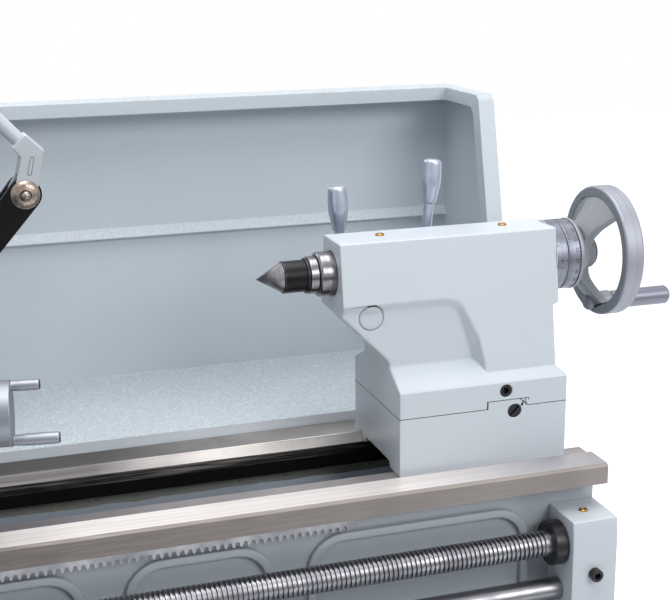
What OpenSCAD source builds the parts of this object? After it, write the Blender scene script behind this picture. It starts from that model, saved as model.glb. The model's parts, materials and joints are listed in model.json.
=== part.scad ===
// Universal metal lathe on two cabinets, with carriage, tailstock, splash guard and machine lamp.
// Millimetres, +Z up, headstock at -X, operator at -Y, origin under the middle of the machine.

/* [Overall] */
// which piece to draw
// length of the bed
bed_len = 1480; // [1400:10:1800]
// width over the bed ways
bed_w = 180; // [180:1:190]
// flat ways above the floor
way_height = 960; // [900:5:1050]
// spindle axis above the flat ways
centre_h = 165; // [160:0.5:170]

/* [Bed] */
// height of the bed casting below the flat ways
bed_depth = 280; // [240:5:320]
// depth of the front and rear edges of the ways
way_edge = 14.4; // [12:0.2:20]
// height of the raised front way over the flat way
way_rise = 3.6; // [2:0.2:6]
// height of the inner rear V way
vee_h = 7.2; // [6:0.2:9]
// thickness of the bed side walls
bed_wall = 15; // [12:1:18]
// distance between the cross ribs of the bed
rib_pitch = 150; // [120:10:220]

/* [Clearances] */
// gap between flat sliding faces
slide_gap = 0.1; // [0.05:0.05:0.3]
// radial running fit of shafts and bores
run_fit = 0.05; // [0.02:0.01:0.1]
// gap between bolted or fixed neighbours
seat_gap = 0.2; // [0.1:0.05:0.4]

/* [Headstock] */
// length of the headstock along the bed
head_len = 400; // [360:5:420]
// front face of the headstock from the spindle axis
head_front = 150; // [140:1:160]
// rear face of the headstock from the spindle axis
head_rear = 165; // [150:1:175]
// top of the headstock over the flat ways
head_top = 285; // [270:1:300]
// outside diameter of the spindle
spindle_d = 60; // [50:1:70]
// through bore of the spindle
spindle_bore = 38; // [30:1:45]
// diameter of the chuck
chuck_d = 160; // [125:1:200]
// length of the chuck body
chuck_len = 72; // [60:1:85]

/* [Shafts] */
// leadscrew diameter
lead_d = 22; // [20:1:26]
// feed rod diameter
feed_d = 19; // [16:1:22]
// control rod diameter
ctrl_d = 16; // [14:1:20]
// distance of the shafts in front of the spindle axis
shaft_y = 87; // [85:1:92]
// leadscrew below the flat ways
lead_z = 62; // [58:1:66]
// feed rod below the flat ways
feed_z = 105; // [100:1:110]
// control rod below the flat ways
ctrl_z = 145; // [140:1:150]

/* [Carriage] */
// distance of the saddle's right edge from the tailstock base
saddle_x = 330; // [325:1:360]
// length of the saddle along the bed
saddle_len = 300; // [280:5:320]
// top of the saddle bridge over the flat ways
saddle_top = 36; // [34:1:40]
// top of the cross slide over the flat ways
cross_top = 72; // [70:1:76]
// swivel angle of the top slide
top_angle = 8; // [0:1:15]
// top slide handwheel diameter
top_wheel_d = 47.5; // [44:0.5:56]
// apron handwheel diameter
apron_wheel_d = 140; // [120:5:160]
// cross slide handwheel diameter
cross_wheel_d = 100; // [90:5:120]

/* [Tailstock] */
// tailstock base left face from the right end of the bed
tail_inset = 173.2; // [173:0.1:400]
// length of the tailstock base
tail_len = 151; // [140:0.5:160]
// front face of the tailstock base from the spindle axis
tail_front = 53.4; // [50:0.1:54]
// rear face of the tailstock base from the spindle axis
tail_rear = 59.6; // [56:0.1:64]
// seam between the two halves of the tailstock
seam_z = 50.2; // [46:0.2:54]
// top of the foot block of the upper half
block_z = 72.8; // [70:0.2:76]
// top of the tailstock body
body_top = 193.8; // [190:0.2:200]
// outward lean of the body faces per unit of height
lean = 0.158; // [0.1:0.002:0.2]
// quill diameter
quill_d = 36.8; // [34:0.2:40]
// quill showing out of the body
quill_out = 13.6; // [10:0.2:60]
// dial diameter
dial_d = 60.4; // [56:0.2:64]
// tailstock handwheel diameter
wheel_d = 112.8; // [100:0.2:130]
// sideways adjustment of the upper half, each way
setover = 6; // [4:0.5:7]
// handle diameter
handle_d = 16.4; // [14:0.2:18]
// handle length
handle_len = 58; // [50:1:70]

/* [Splash guard] */
// back panel behind the spindle axis
guard_back = 266.9; // [240:0.5:280]
// top of the guard over the flat ways
guard_top = 286.2; // [270:0.2:300]
// sheet thickness
sheet = 2; // [1.5:0.1:3]
// height of the shelf over the flat ways
shelf_z = 9.2; // [8:0.1:10]

/* [Lamp] */
// length of the lower lamp arm
lamp_arm_len = 150; // [120:5:180]
// length of the lamp tube
lamp_tube_len = 260; // [200:5:300]
// diameter of the lamp tube
lamp_tube_d = 12.6; // [12:0.2:16]

/* [Hidden] */
half_w = bed_w/2;
tail_x = bed_len - tail_inset;
saddle_r = tail_x - saddle_x;
saddle_l = saddle_r - saddle_len;
// middle of the carriage along the bed
carr_x = tail_x - 472;
mid_x = 736;
mid_y = -3.5;
inner_f = 39;
flat_f = 55.5;
inner_r = 35.7;
vee_r = 52.5;
guard_y = half_w + 0.8;
cross_z = saddle_top + slide_gap + 12;
// lamp joints relative to the tailstock base
lamp_y = 138;
lamp_px = -270.6;
lamp_pz = 223.7;
lamp_ux = 0.645;
lamp_uz = 0.764;
lamp_bx = lamp_px - lamp_ux*lamp_arm_len;
lamp_bz = lamp_pz - lamp_uz*lamp_arm_len;
wheel_x = tail_x - 308.3;
wheel_y = -93.7;
wheel_z = 107.9;
tool_top = 128;

$fn = 64;

// Colours
c_paint = [0.80, 0.83, 0.87];
c_guard = [0.70, 0.74, 0.77];
c_ground = [0.72, 0.70, 0.68];
c_steel = [0.62, 0.63, 0.65];
c_alu = [0.68, 0.69, 0.72];
c_black = [0.10, 0.10, 0.11];

// Placing helpers
module place() {
  translate([-mid_x, -mid_y, way_height]) children();
}

module at_tail() {
  place() translate([tail_x, 0, 0]) children();
}

module along_x(x0, len) {
  translate([x0, 0, 0]) rotate([90, 0, 90]) linear_extrude(len) children();
}

module along_y(y0, len) {
  translate([0, y0 + len, 0]) rotate([90, 0, 0]) linear_extrude(len) children();
}

module box(a, b) {
  translate(a) cube([b[0] - a[0], b[1] - a[1], b[2] - a[2]]);
}

module bar_x(x0, x1, y, z, d) {
  translate([x0, y, z]) rotate([0, 90, 0]) cylinder(d = d, h = x1 - x0);
}

module bar_y(x, y0, y1, z, d) {
  translate([x, y0, z]) rotate([-90, 0, 0]) cylinder(d = d, h = y1 - y0);
}

module bar_z(x, y, z0, z1, d) {
  translate([x, y, z0]) cylinder(d = d, h = z1 - z0);
}

// turned shape along +X, points are [radius, x]
module turn_x(x0, y, z) {
  translate([x0, y, z]) rotate([0, 90, 0]) rotate_extrude() children();
}

// turned shape along -Y, points are [radius, distance]
module turn_y(x, y0, z) {
  translate([x, y0, z]) rotate([90, 0, 0]) rotate_extrude() children();
}

// rounded rectangle from corner a to corner b
module rrect(a, b, r) {
  translate([a[0] + r, a[1]]) square([b[0] - a[0] - 2*r, b[1] - a[1]]);
  translate([a[0], a[1] + r]) square([b[0] - a[0], b[1] - a[1] - 2*r]);
  for (x = [a[0] + r, b[0] - r])
    for (y = [a[1] + r, b[1] - r])
      translate([x, y]) circle(r);
}

// two circles joined by their outer tangents
module link(c1, r1, c2, r2) {
  dx = c2[0] - c1[0];
  dy = c2[1] - c1[1];
  l = sqrt(dx*dx + dy*dy);
  t = atan2(dy, dx);
  b = acos((r1 - r2)/l);
  translate(c1) circle(r1);
  translate(c2) circle(r2);
  q1 = r1 - 0.02;
  q2 = r2 - 0.02;
  polygon([
    [c1[0] + q1*cos(t - b), c1[1] + q1*sin(t - b)],
    [c2[0] + q2*cos(t - b), c2[1] + q2*sin(t - b)],
    [c2[0] + q2*cos(t + b), c2[1] + q2*sin(t + b)],
    [c1[0] + q1*cos(t + b), c1[1] + q1*sin(t + b)]]);
}

// spur gear outline with straight sided teeth
module gear_shape(teeth, m, phase) {
  rp = teeth*m/2;
  ra = rp + 0.85*m;
  rd = rp - 1.15*m;
  p = 360/teeth;
  circle(rd, $fn = teeth);
  for (i = [0 : teeth - 1])
    rotate(i*p + phase)
      polygon([[rd - 0.6, -0.33*p*rd*PI/180], [ra, -0.13*p*ra*PI/180],
        [ra, 0.13*p*ra*PI/180], [rd - 0.6, 0.33*p*rd*PI/180]]);
}

// Bed
// setback of the bed's side walls behind the edges of the ways
side_in = 24.5;
way_t = 20;
way_chamfer = 2.4;
flange_w = 44;
flange_in = 2;
flange_top = 18 - bed_depth;
module front_way() {
  wall_y = -half_w + side_in;
  polygon([[-inner_f, 0], [-flat_f, 0], [-flat_f - 5, way_rise], [-half_w + way_chamfer, way_rise],
    [-half_w, way_rise - way_chamfer], [-half_w, -way_edge], [wall_y, -way_edge],
    [wall_y, flange_top], [-half_w + flange_in, flange_top], [-half_w + flange_in, -bed_depth],
    [-flange_w, -bed_depth], [-flange_w, flange_top], [wall_y + bed_wall, flange_top],
    [wall_y + bed_wall, -way_t], [-inner_f, -way_t]]);
}

module rear_way() {
  wall_y = half_w - side_in;
  polygon([[inner_r, 0], [inner_r + vee_h + 0.4, vee_h], [vee_r - vee_h, vee_h], [vee_r, 0],
    [half_w, 0], [half_w, -way_edge], [wall_y, -way_edge], [wall_y, flange_top],
    [half_w - flange_in, flange_top], [half_w - flange_in, -bed_depth], [flange_w, -bed_depth],
    [flange_w, flange_top], [wall_y - bed_wall, flange_top], [wall_y - bed_wall, -way_t],
    [inner_r, -way_t]]);
}

// room for the ways under a part that rides on them
module way_room(g) {
  polygon([[-half_w - 0.6, -1], [-half_w - 0.6, way_rise + g], [-flat_f - 5 + g, way_rise + g],
    [-flat_f + g + 1.5, -1]]);
  polygon([[inner_r - 1.1 - g, -1], [inner_r + vee_h + 0.4 - g, vee_h + g],
    [vee_r - vee_h + g, vee_h + g], [vee_r + 1 + g, -1]]);
}

rib_t = 14;
rib_y = half_w - side_in - bed_wall/2;
rib_low = flange_top + 12;
module rib(x, top) {
  box([x, -rib_y, rib_low], [x + rib_t, rib_y, top]);
}

module bed() {
  color(c_ground) place() {
    along_x(0, bed_len) front_way();
    along_x(0, bed_len) rear_way();
    for (x = [rib_pitch : rib_pitch : bed_len - 40]) rib(x, -3*way_t);
    for (x = [0, bed_len - rib_t - 2]) rib(x, -way_t - 4);
  }
}

// Gear rack under the front way
rack_x0 = head_len + 8;
rack_x1 = bed_len - 220;
rack_p = 6.283;
rack_w = 13;
// underside of the rack's body and the height of its teeth
rack_z = way_edge + 9.6;
tooth_h = 4.2;
module feed_rack() {
  n = floor((rack_x1 - rack_x0)/rack_p) - 1;
  color(c_steel) place()
    along_y(-half_w + 11, rack_w) {
      translate([rack_x0, -rack_z])
        square([rack_x1 - rack_x0, rack_z - way_edge - seat_gap]);
      for (i = [0 : n])
        translate([rack_x0 + rack_p*i + 1.2, 0.1 - rack_z])
          polygon([[0, 0], [1.3, -tooth_h - 0.1], [3.1, -tooth_h - 0.1], [4.4, 0]]);
    }
}

// Bracket holding the shafts at the tailstock end
bracket_len = 41;
bracket_x0 = bed_len - bracket_len - 0.3;
bracket_y = -half_w + side_in - 0.3;
bracket_top = lead_z - 25.7;
bracket_low = ctrl_z + 23;
// diameter, end diameter and depth under the ways of the three shafts
SHAFTS = [[lead_d, 16, lead_z], [feed_d, 14, feed_z], [ctrl_d, 12, ctrl_z]];
module shaft_bores(x0, x1, column, gap) {
  for (s = SHAFTS) bar_x(x0, x1, -shaft_y, -s[2], s[column] + gap);
}

module end_bracket() {
  front = shaft_y + 24;
  color(c_paint) place()
    difference() {
      along_x(bracket_x0, bracket_len)
        polygon([[bracket_y, -bracket_top], [-front + 2.2, -bracket_top], [-front, -bracket_top - 13.7],
          [-front, -bracket_low + 10], [-front + 8, -bracket_low], [bracket_y, -bracket_low]]);
      shaft_bores(bracket_x0 - 1, bed_len + 1, 1, 2*run_fit);
    }
}

// Splash guard
guard_x0 = head_len + 8;
lip_out = 33;
lip_h = 12.8;
ledge_z = 150.6;
ledge_out = 6.5;
module guard_profile() {
  translate([guard_y, -60]) square([sheet, 60 + shelf_z]);
  translate([guard_y, shelf_z - sheet]) square([guard_back + sheet - guard_y, sheet]);
  translate([guard_back, -bed_depth]) square([sheet, bed_depth + guard_top]);
  translate([guard_back - lip_out, guard_top - sheet]) square([lip_out + 1, sheet]);
  translate([guard_back - lip_out, guard_top - lip_h]) square([sheet, lip_h]);
  polygon([[guard_back + 0.5, ledge_z + 10], [guard_back - ledge_out, ledge_z + 1.4],
    [guard_back - ledge_out, ledge_z], [guard_back + 0.5, ledge_z]]);
}

module wing_outline() {
  polygon([[guard_y, shelf_z - 1], [152.9, guard_top - 6], [156, guard_top - 1.8],
    [161, guard_top], [guard_back + sheet, guard_top], [guard_back + sheet, shelf_z - 1]]);
}

module splash_guard() {
  color(c_guard) place() {
    along_x(guard_x0, bed_len - guard_x0) guard_profile();
    along_x(bed_len - sheet, sheet) wing_outline();
    along_x(guard_x0, sheet) wing_outline();
    along_x(bed_len - 16, 15)
      polygon([[guard_y, shelf_z - 1], [152.9, guard_top - 6], [156, guard_top - 1.8],
        [161, guard_top], [guard_back, guard_top], [guard_back, guard_top - sheet],
        [162, guard_top - sheet], [157.6, guard_top - 3.6], [155, guard_top - 7],
        [guard_y + 2.1, shelf_z - 1]]);
    along_x(bed_len - 16, sheet)
      polygon([[guard_y + 1, shelf_z - 1], [153.9, guard_top - 6], [162, guard_top - 1],
        [guard_back, guard_top - 1], [guard_back, guard_top - lip_h], [172, guard_top - lip_h],
        [166, guard_top - 18], [guard_y + 15, shelf_z - 1]]);
  }
}

// Chip tray between the bed and the cabinets
tray_t = 3;
tray_h = 46;
tray_front = -235;
tray_rear = 285;
tray_x0 = 6;
tray_x1 = bed_len + 110;
module chip_tray() {
  t0 = -bed_depth - seat_gap;
  color(c_guard) place()
    difference() {
      box([tray_x0, tray_front, t0 - tray_t], [tray_x1, tray_rear, t0 + tray_h]);
      box([tray_x0 + tray_t, tray_front + tray_t, t0 - 0.01],
        [tray_x1 - tray_t, tray_rear - tray_t, t0 + tray_h + 1]);
      box([tray_x0 - 1, -half_w - 1, t0 - 0.01], [tray_x0 + 4, half_w + 1, t0 + tray_h + 1]);
    }
}

// Cabinets
foot_h = 30;
cab_top = -bed_depth - tray_t - 2*seat_gap;
cab_bot = -way_height + foot_h;
cab_front = -190;
cab_rear = 205;
cab_wall = 4;
cab_inset = 20;
panel_in = 26;
panel_lap = 14;
left_cab = [cab_inset, head_len + 20];
right_cab = [bed_len - 400, bed_len - cab_inset];
module cabinet(x0, x1) {
  difference() {
    box([x0, cab_front, cab_bot], [x1, cab_rear, cab_top]);
    box([x0 + cab_wall, cab_front + cab_wall, cab_bot + cab_wall],
      [x1 - cab_wall, cab_rear - cab_wall, cab_top - cab_wall]);
    box([x0 + panel_in, cab_front - 10, cab_bot + panel_in],
      [x1 - panel_in, cab_front + 10, cab_top - panel_in]);
    children();
  }
  box([x0 + panel_in - panel_lap, cab_front + cab_wall - 0.01, cab_bot + panel_in - panel_lap],
    [x1 - panel_in + panel_lap, cab_front + cab_wall + 3, cab_top - panel_in + panel_lap]);
}

// motor shelf in the left cabinet and the motor's axis over it
shelf_t = 6;
motor_floor = cab_top - 224.6;
motor_y = 60;
motor_z = motor_floor + 88;

// two hinges of the gear cover, each a knuckle between two plates
hinge_x = -8;
hinge_y = 180;
hinge_pin = 5;
hinge_t = 5.6;
hinge_len = 80;
hinge_gap = 0.4;
notch_gap = 0.8;
head_hinge = 120;
motor_hinge = motor_z - 20;
function plate_z(z) = [z - hinge_gap - hinge_t, z + hinge_len + hinge_gap];

module hinge_pin(z) {
  bar_z(hinge_x, hinge_y, z - 4, z + hinge_len + 4, hinge_pin);
}

module hinge_plates(z, reach) {
  for (low = plate_z(z))
    box([hinge_x - 5, cover_rear + 0.8, low], [reach, hinge_y + 6, low + hinge_t]);
}

module cabinets() {
  color(c_paint) place() {
    cabinet(left_cab[0], left_cab[1])
      bar_x(left_cab[0] - 20, left_cab[0] + 20, motor_y, motor_z, 44);
    cabinet(right_cab[0], right_cab[1]);
    box([left_cab[0] + cab_wall, motor_y - 120, motor_floor - shelf_t],
      [left_cab[1] - cab_wall, motor_y + 130, motor_floor]);
    hinge_plates(motor_hinge, left_cab[0] + 1);
    hinge_pin(motor_hinge);
  }
}

foot_x = [left_cab[0] + 35, left_cab[1] - 35, right_cab[0] + 35, right_cab[1] - 35];
module levelling_feet() {
  color(c_steel) place()
    for (x = foot_x)
      for (y = [cab_front + 30, cab_rear - 30]) {
        bar_z(x, y, -way_height, -way_height + 12, 64);
        bar_z(x, y, -way_height + 11, cab_bot - 0.3, 20);
      }
}

// Headstock
head_wall = 14;
head_floor = 52;
nose_d = 144;
idler_pin = 20;
input_y = 70;
input_z = 90;
input_d = 30;
module headstock_housing() {
  color(c_paint) place()
    difference() {
      union() {
        along_x(0, head_len) {
          rrect([-head_front, 10], [head_rear, head_top], 8);
          polygon([[-half_w, slide_gap], [half_w, slide_gap], [half_w, 30], [-half_w, 30]]);
        }
        turn_x(head_len - 0.5, 0, centre_h)
          polygon([[0, 0], [nose_d/2, 0], [nose_d/2 - 2, 6.5], [0, 6.5]]);
        hinge_plates(head_hinge, head_wall);
        for (low = plate_z(head_hinge))
          box([1, head_rear - 5, low], [head_wall, hinge_y + 6, low + hinge_t]);
        hinge_pin(head_hinge);
      }
      along_x(-1, head_len + 2) way_room(slide_gap);
      box([2*head_wall, -head_front + head_wall, head_floor],
        [head_len - 2*head_wall, head_rear - head_wall, head_top + 1]);
      bar_x(-1, head_len + 20, 0, centre_h, spindle_d + 2*run_fit);
      bar_x(-1, 40, input_y, input_z, input_d + 2*run_fit);
      bar_x(-1, 30, idler_y, idler_z, idler_pin + 2*run_fit);
    }
}

module headstock_lid() {
  lid_in = 6;
  bolt_in = 40;
  color(c_paint) place() {
    along_x(4, head_len - 8)
      rrect([-head_front + lid_in, head_top + seat_gap], [head_rear - lid_in, head_top + 14], 5);
    for (x = [bolt_in, head_len - bolt_in])
      for (y = [-head_front + bolt_in, head_rear - bolt_in])
        bar_z(x, y, head_top + 13, head_top + 20, 16);
  }
}

// Gearbox of the feeds, its front face in line with the headstock
box_low = bracket_low + 22;
module gearbox_housing() {
  top_y = -half_w - 0.6;
  edge = 8;
  color(c_paint) place()
    difference() {
      along_x(6, head_len - 6)
        polygon([[top_y, -edge], [-head_front + edge, -edge], [-head_front, -2*edge],
          [-head_front, -box_low + edge], [-head_front + edge, -box_low], [bracket_y, -box_low],
          [bracket_y, -way_edge - 2], [top_y, -way_edge - 2]]);
      shaft_bores(head_len - 40, head_len + 1, 0, 2*run_fit);
      bar_x(0, 60, -shaft_y, -lead_z, box_shaft_d + 2*run_fit);
      box([70, -head_front - 1, -box_low + 40], [head_len - 70, -head_front + 6, -60]);
    }
}

stop_x = 62;
stop_z = head_top - 45;
stop_d = 14;
module control_box() {
  color(c_black) place()
    difference() {
      union() {
        along_y(-head_front - 18.2, 18)
          rrect([stop_x - 32, stop_z - 28], [head_len - 28, stop_z + 28], 6);
        for (x = [120, 160, 200])
          turn_y(x, -head_front - 18.1, stop_z)
            polygon([[0, 0], [12, 0], [12, 3], [9, 4], [9, 6], [7, 8], [0, 9]]);
      }
      bar_y(stop_x, -head_front - 19, -head_front - 7, stop_z, stop_d + 2*run_fit);
    }
}

module stop_button() {
  color("red") place() {
    bar_y(stop_x, -head_front - 24, -head_front - 12, stop_z, stop_d);
    turn_y(stop_x, -head_front - 23.2, stop_z)
      polygon([[0, 0], [17, 0], [19.5, 2], [19.5, 6], [16, 10], [0, 11.6]]);
  }
}

// Motor in the left cabinet
motor_d = 156;
motor_pin = 24;
module motor() {
  r = motor_d/2;
  color(c_steel) place()
    difference() {
      union() {
        turn_x(50, motor_y, motor_z)
          polygon([[0, 0], [40, 0], [r - 2, 10], [r, 16], [r, 180], [r - 8, 186], [r - 8, 214],
            [r - 16, 222], [0, 222]]);
        for (side = [-52, 34])
          box([80, motor_y + side, motor_floor], [200, motor_y + side + 18, motor_z]);
        box([70, motor_y - 70, motor_floor + seat_gap], [210, motor_y + 70, motor_floor + 8]);
        box([110, motor_y - 106, motor_z - 26], [180, motor_y - 70, motor_z + 34]);
      }
      bar_x(40, 120, motor_y, motor_z, motor_pin + 2*run_fit);
      box([60, motor_y - 90, motor_floor - 12], [220, motor_y + 90, motor_floor + seat_gap]);
    }
}

// Belt drive
pulley_x = -84;
pulley_w = 30;
groove_h = 9;
motor_pulley_r = 45;
input_pulley_r = 62;
module pulley(r, hub_r, hub_x, shaft_r, len) {
  polygon([[0, 0], [r, 0], [r, 4], [r - groove_h, 7], [r - groove_h, pulley_w - 7],
    [r, pulley_w - 4], [r, pulley_w], [hub_r, pulley_w], [hub_r, hub_x], [shaft_r, hub_x + 2],
    [shaft_r, len], [0, len]]);
}

module motor_pulley() {
  color(c_steel) place()
    turn_x(pulley_x, motor_y, motor_z) pulley(motor_pulley_r, 20, 40, motor_pin/2, 190);
}

module input_pulley() {
  color(c_steel) place()
    turn_x(pulley_x, input_y, input_z) pulley(input_pulley_r, 22, 46, input_d/2, 120);
}

module belt_line(r) {
  link([motor_y, motor_z], motor_pulley_r + r, [input_y, input_z], input_pulley_r + r);
}

module drive_belt() {
  color(c_black) place()
    along_x(pulley_x + 8, pulley_w - 16)
      difference() {
        belt_line(-1);
        belt_line(0.4 - groove_h);
      }
}

// Hinged cover over the gears and the belt
cover_x0 = -118;
cover_x1 = -3;
cover_t = 3;
cover_r = 22;
cover_front = -158;
cover_rear = 172;
cover_low = motor_z - 120;
cover_top = head_top + 11;
module cover_outline(t) {
  rrect([cover_front + t, cover_low + t], [cover_rear - t, cover_top - t], cover_r - t);
}

module gear_cover() {
  color(c_paint) place()
    difference() {
      union() {
        along_x(cover_x0, cover_x1 - cover_x0) cover_outline(0);
        for (z = [head_hinge, motor_hinge]) {
          bar_z(hinge_x, hinge_y, z, z + hinge_len, 10);
          box([hinge_x - 5, cover_rear - 2, z], [cover_x1, hinge_y, z + hinge_len]);
        }
      }
      for (z = [head_hinge, motor_hinge])
        bar_z(hinge_x, hinge_y, z - 20, z + hinge_len + 20, hinge_pin + 2*run_fit);
      along_x(cover_x0 + cover_t, 120) cover_outline(cover_t);
      for (z = concat(plate_z(head_hinge), plate_z(motor_hinge)))
        box([hinge_x - 9, cover_rear - 22, z - notch_gap],
          [cover_x1 + 1, cover_rear + 1, z + hinge_t + notch_gap]);
    }
}

// Spindle with its drive gear
gear_m = 2.5;
gear_x = -34;
gear_w = 18;
spindle_teeth = 36;
idler_teeth = 58;
box_teeth = 48;
box_shaft_d = 22;
module spindle() {
  r = spindle_d/2;
  color(c_steel) place() {
    turn_x(-60, 0, centre_h)
      polygon([[spindle_bore/2, 0], [r - 4, 0], [r, 3], [r, 472], [46, 472], [62, 476],
        [62, 494], [spindle_bore/2, 494]]);
    translate([gear_x, 0, centre_h]) rotate([90, 0, 90]) linear_extrude(gear_w)
      difference() {
        gear_shape(spindle_teeth, gear_m, 0);
        circle(r - 2);
      }
  }
}

// the idler meshes with both gears, so its axis lies where two circles cross
mesh_gap = 0.05;
reach_a = gear_m*(spindle_teeth + idler_teeth)/2 + mesh_gap;
reach_b = gear_m*(idler_teeth + box_teeth)/2 + mesh_gap;
gear_dy = -shaft_y;
gear_dz = -lead_z - centre_h;
gear_gap = sqrt(gear_dy*gear_dy + gear_dz*gear_dz);
gear_along = (reach_a*reach_a - reach_b*reach_b + gear_gap*gear_gap)/(2*gear_gap);
gear_aside = sqrt(reach_a*reach_a - gear_along*gear_along);
idler_y = (gear_along*gear_dy + gear_aside*gear_dz)/gear_gap;
idler_z = centre_h + (gear_along*gear_dz - gear_aside*gear_dy)/gear_gap;

// how far each wheel is turned so that its teeth stand in its neighbour's gaps
idler_a = atan2(idler_z - centre_h, idler_y);
box_a = atan2(-lead_z - idler_z, -shaft_y - idler_y);
idler_phase = idler_a + 180 + 180/idler_teeth + idler_a*spindle_teeth/idler_teeth;
box_phase = box_a + 180 + 180/box_teeth + (box_a - idler_phase)*idler_teeth/box_teeth;

module change_wheel(y, z, teeth, phase, hole_r, hole_at) {
  translate([gear_x + 1, y, z]) rotate([90, 0, 90]) linear_extrude(gear_w - 2)
    difference() {
      gear_shape(teeth, gear_m, phase);
      for (a = [0 : 60 : 300]) rotate(a) translate([hole_at, 0]) circle(hole_r);
    }
}

module idler_gear() {
  color(c_steel) place() {
    change_wheel(idler_y, idler_z, idler_teeth, idler_phase, 13, 42);
    bar_x(gear_x - 10, 24, idler_y, idler_z, idler_pin);
  }
}

module gearbox_gear() {
  color(c_steel) place() {
    change_wheel(-shaft_y, -lead_z, box_teeth, box_phase, 10, 33);
    bar_x(gear_x - 8, 55, -shaft_y, -lead_z, box_shaft_d);
  }
}

// Chuck
chuck_x = 434.4;
slot_h = 12;
module chuck_body() {
  color(c_steel) place()
    difference() {
      turn_x(chuck_x, 0, centre_h)
        polygon([[spindle_bore/2 + 2, 0], [chuck_d/2 - 12, 0], [chuck_d/2 - 12, 12],
          [chuck_d/2 - 2, 14], [chuck_d/2, 16], [chuck_d/2, chuck_len - 2],
          [chuck_d/2 - 2, chuck_len], [spindle_bore/2 + 2, chuck_len]]);
      for (a = [90, 210, 330])
        translate([chuck_x, 0, centre_h]) rotate([a - 90, 0, 0])
          box([chuck_len - 26, -slot_h/2 - 0.1, 0], [chuck_len + 1, slot_h/2 + 0.1, chuck_d]);
      for (a = [30, 150, 270])
        translate([chuck_x + 38, 0, centre_h]) rotate([a - 90, 0, 0])
          bar_z(0, 0, chuck_d/2 - 16, chuck_d/2 + 1, 16);
    }
}

module jaw(a) {
  color(c_steel) place()
    translate([chuck_x, 0, centre_h]) rotate([a - 90, 0, 0]) {
      box([chuck_len - 25.8, -slot_h/2, 30], [chuck_len + 1.5, slot_h/2, 76]);
      along_y(-9, 18)
        polygon([[chuck_len + 0.2, 30], [chuck_len + 30, 30], [chuck_len + 30, 44],
          [chuck_len + 18, 44], [chuck_len + 18, 60], [chuck_len + 8, 60], [chuck_len + 8, 76],
          [chuck_len + 0.2, 76]]);
    }
}

module chuck_jaw_a() {
  jaw(90);
}

module chuck_jaw_b() {
  jaw(210);
}

module chuck_jaw_c() {
  jaw(330);
}

// Levers with tapered grips
module grip(len, d1, d2) {
  rotate_extrude()
    polygon([[0, 0], [d1/2 - 0.6, 0], [d1/2, 0.6], [d2/2 - 0.5, len*0.36], [d2/2, len*0.46],
      [d2/2 - 0.1, len*0.62], [d2/2 - 0.9, len - 3], [d2/2 - 1.6, len - 1.4],
      [d2/2 - 3.4, len - 0.5], [0, len]]);
}

module speed_lever(x) {
  color(c_alu) place() {
    turn_y(x, -head_front - seat_gap, 140)
      polygon([[0, 0], [30, 0], [30, 8], [24, 12], [16, 14], [16, 26], [13, 29], [0, 29]]);
    translate([x, -head_front - 22, 140]) rotate([14, 28, 0]) {
      cylinder(d = 11, h = 62);
      translate([0, 0, 58]) grip(44, 15, 19);
    }
  }
}

module speed_lever_a() {
  speed_lever(120);
}

module speed_lever_b() {
  speed_lever(270);
}

// Long shafts in front of the bed, each thinner where it runs in the end bracket
module shaft(i) {
  s = SHAFTS[i];
  bar_x(head_len - 36, bracket_x0 - 0.4, -shaft_y, -s[2], s[0]);
  bar_x(bracket_x0 - 0.5, bed_len - 2, -shaft_y, -s[2], s[1]);
}

module leadscrew() {
  color(c_steel) place() {
    shaft(0);
    bar_x(bracket_x0 - 12, bracket_x0 - 0.4, -shaft_y, -lead_z, lead_d + 16);
  }
}

module feed_rod() {
  color(c_steel) place() shaft(1);
}

module control_rod() {
  hub_x = head_len + 12;
  hub_len = 28;
  color(c_steel) place() {
    shaft(2);
    bar_x(hub_x, hub_x + hub_len, -shaft_y, -ctrl_z, 34);
    translate([hub_x + hub_len/2, -shaft_y, -ctrl_z]) rotate([72, 0, 0]) {
      cylinder(d = 11, h = 78);
      translate([0, 0, 74]) grip(44, 15, 19);
    }
  }
}

// Carriage
saddle_front = -130;
bridge_front = -178;
saddle_h = 30;
bridge_w = 136;
tail_w = 60;
cross_pin = 16;
module saddle() {
  x0 = carr_x - bridge_w/2;
  x1 = carr_x + bridge_w/2;
  d = tail_w/2;
  color(c_paint) place()
    difference() {
      union() {
        box([saddle_l, saddle_front, 0.2], [saddle_r, -half_w + 34, saddle_h]);
        box([saddle_l, 30, 0.2], [saddle_r, half_w - 0.5, saddle_h]);
        box([x0, saddle_front, 12], [x1, half_w - 0.5, saddle_top]);
        box([saddle_l, saddle_front, -5], [saddle_r, -half_w - 0.6, 20]);
        box([x0, bridge_front, 4], [x1, saddle_front + 1, saddle_top]);
        box([carr_x - d, bridge_front, saddle_top - 1],
          [carr_x + d, bridge_front + 10, cross_z + 15]);
        box([tail_x + lamp_bx - 30, 80, 14], [tail_x + lamp_bx + 30, lamp_y + 32, 26]);
      }
      along_x(saddle_l - 1, saddle_len + 2) way_room(slide_gap);
      box([saddle_l - 1, -inner_f, -1], [saddle_r + 1, inner_r - 2, 11.9]);
      along_y(bridge_front + 10.1, 288)
        polygon([[carr_x - d, saddle_top + 1], [carr_x - d, saddle_top - 12],
          [carr_x + d, saddle_top - 12], [carr_x + d, saddle_top + 1]]);
      bar_y(carr_x, bridge_front - 1, -160, cross_z, cross_pin + 2*run_fit);
    }
}

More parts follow.
